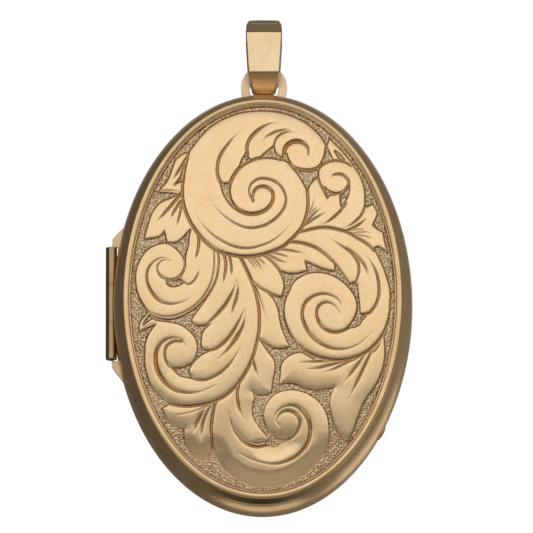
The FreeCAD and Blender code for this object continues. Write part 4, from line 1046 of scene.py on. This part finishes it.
world = bpy.data.worlds.new("studio")
scene.world = world
world.use_nodes = True
WN, WL = world.node_tree.nodes, world.node_tree.links
for n in list(WN):
    WN.remove(n)
wo = WN.new("ShaderNodeOutputWorld")
mixs = WN.new("ShaderNodeMixShader")
lp = WN.new("ShaderNodeLightPath")
seen = WN.new("ShaderNodeBackground"); seen.inputs["Color"].default_value = (1, 1, 1, 1); seen.inputs["Strength"].default_value = 1.0
room = WN.new("ShaderNodeBackground"); room.inputs["Strength"].default_value = 1.0
wt = WN.new("ShaderNodeTexCoord")
ws = WN.new("ShaderNodeSeparateXYZ")
wr = WN.new("ShaderNodeValToRGB")
wm = WN.new("ShaderNodeMapRange"); wm.inputs["From Min"].default_value = -1.0; wm.inputs["From Max"].default_value = 1.0
WL.new(wt.outputs["Generated"], ws.inputs[0])
WL.new(ws.outputs["Z"], wm.inputs["Value"])
WL.new(wm.outputs["Result"], wr.inputs["Fac"])
els = wr.color_ramp.elements
els[0].position = 0.0; els[0].color = (0.02, 0.018, 0.015, 1)
e = els.new(0.06); e.color = (0.03, 0.026, 0.022, 1)
e = els.new(0.14); e.color = (0.19, 0.18, 0.17, 1)
els[1].position = 1.0; els[1].color = (0.15, 0.145, 0.14, 1)
e = els.new(0.42); e.color = (0.17, 0.16, 0.15, 1)
e = els.new(0.54); e.color = (0.19, 0.18, 0.17, 1)
WL.new(wr.outputs["Color"], room.inputs["Color"])
wx = WN.new("ShaderNodeMapRange"); wx.inputs["From Min"].default_value = -1.0; wx.inputs["From Max"].default_value = 1.0
wx.inputs["To Min"].default_value = 0.55; wx.inputs["To Max"].default_value = 1.2
WL.new(ws.outputs["X"], wx.inputs["Value"])
WL.new(wx.outputs["Result"], room.inputs["Strength"])
WL.new(lp.outputs["Is Camera Ray"], mixs.inputs[0])
WL.new(room.outputs[0], mixs.inputs[1])
WL.new(seen.outputs[0], mixs.inputs[2])
WL.new(mixs.outputs[0], wo.inputs[0])

CENTRE = Vector((0, 0, LIFT * MM))


def softbox(name, az, el, dist, w, h, radiance, colour=(1, 1, 1)):
    """An area light aimed at the case; az 0 is in front, el up."""
    a, e_ = math.radians(az), math.radians(el)
    d = Vector((math.sin(a) * math.cos(e_), -math.cos(a) * math.cos(e_), math.sin(e_)))
    li = bpy.data.lights.new(name, "AREA")
    li.shape = "RECTANGLE"
    li.size, li.size_y = w, h
    li.energy = radiance * math.pi * w * h
    li.color = colour
    ob = bpy.data.objects.new(name, li)
    scene.collection.objects.link(ob)
    ob.location = CENTRE + d * dist
    ob.rotation_euler = d.to_track_quat("Z", "Y").to_euler()
    ob.visible_camera = False
    return ob


softbox("low_back_fill", 180, -54, 0.8, 0.7, 0.40, 0.62)
softbox("low_front_strip", 0, -13, 0.8, 0.8, 0.20, 0.20, (1.0, 0.93, 0.80))
softbox("key_panel", -4, 18, 0.62, 1.05, 0.25, 0.84, (1.0, 0.985, 0.96))
softbox("upper_panel", 0, 38, 0.64, 1.05, 0.24, 0.50)
softbox("low_front_fill", 0, -28, 0.7, 0.7, 0.30, 0.16)
softbox("back_fill", 180, 30, 0.9, 0.8, 0.5, 0.25)
softbox("view_fill_front", -48, -26, 0.75, 0.42, 0.40, 0.55)
softbox("view_fill_back", 135, -16, 0.75, 0.40, 0.45, 0.55)

# ---------------------------------------------------------------- camera
tilt = math.radians(-15)
look = Vector((0, math.cos(tilt), -math.sin(tilt)))
up = Vector((0, -math.sin(-tilt), math.cos(tilt)))
aim = CENTRE + Vector((0.355 * MM, 0, 0)) + up * (3.656 * MM)
cam_data = bpy.data.cameras.new("camera")
cam = bpy.data.objects.new("camera", cam_data)
scene.collection.objects.link(cam)
DIST = 2.0
cam.location = aim - look * DIST
cam.rotation_euler = (math.radians(90) - tilt, 0, 0)
cam_data.sensor_width = 36.0
cam_data.lens = 36.0 * DIST / (533 * 0.0935 * MM)
cam_data.clip_start = 0.01
cam_data.clip_end = 20.0
scene.camera = cam
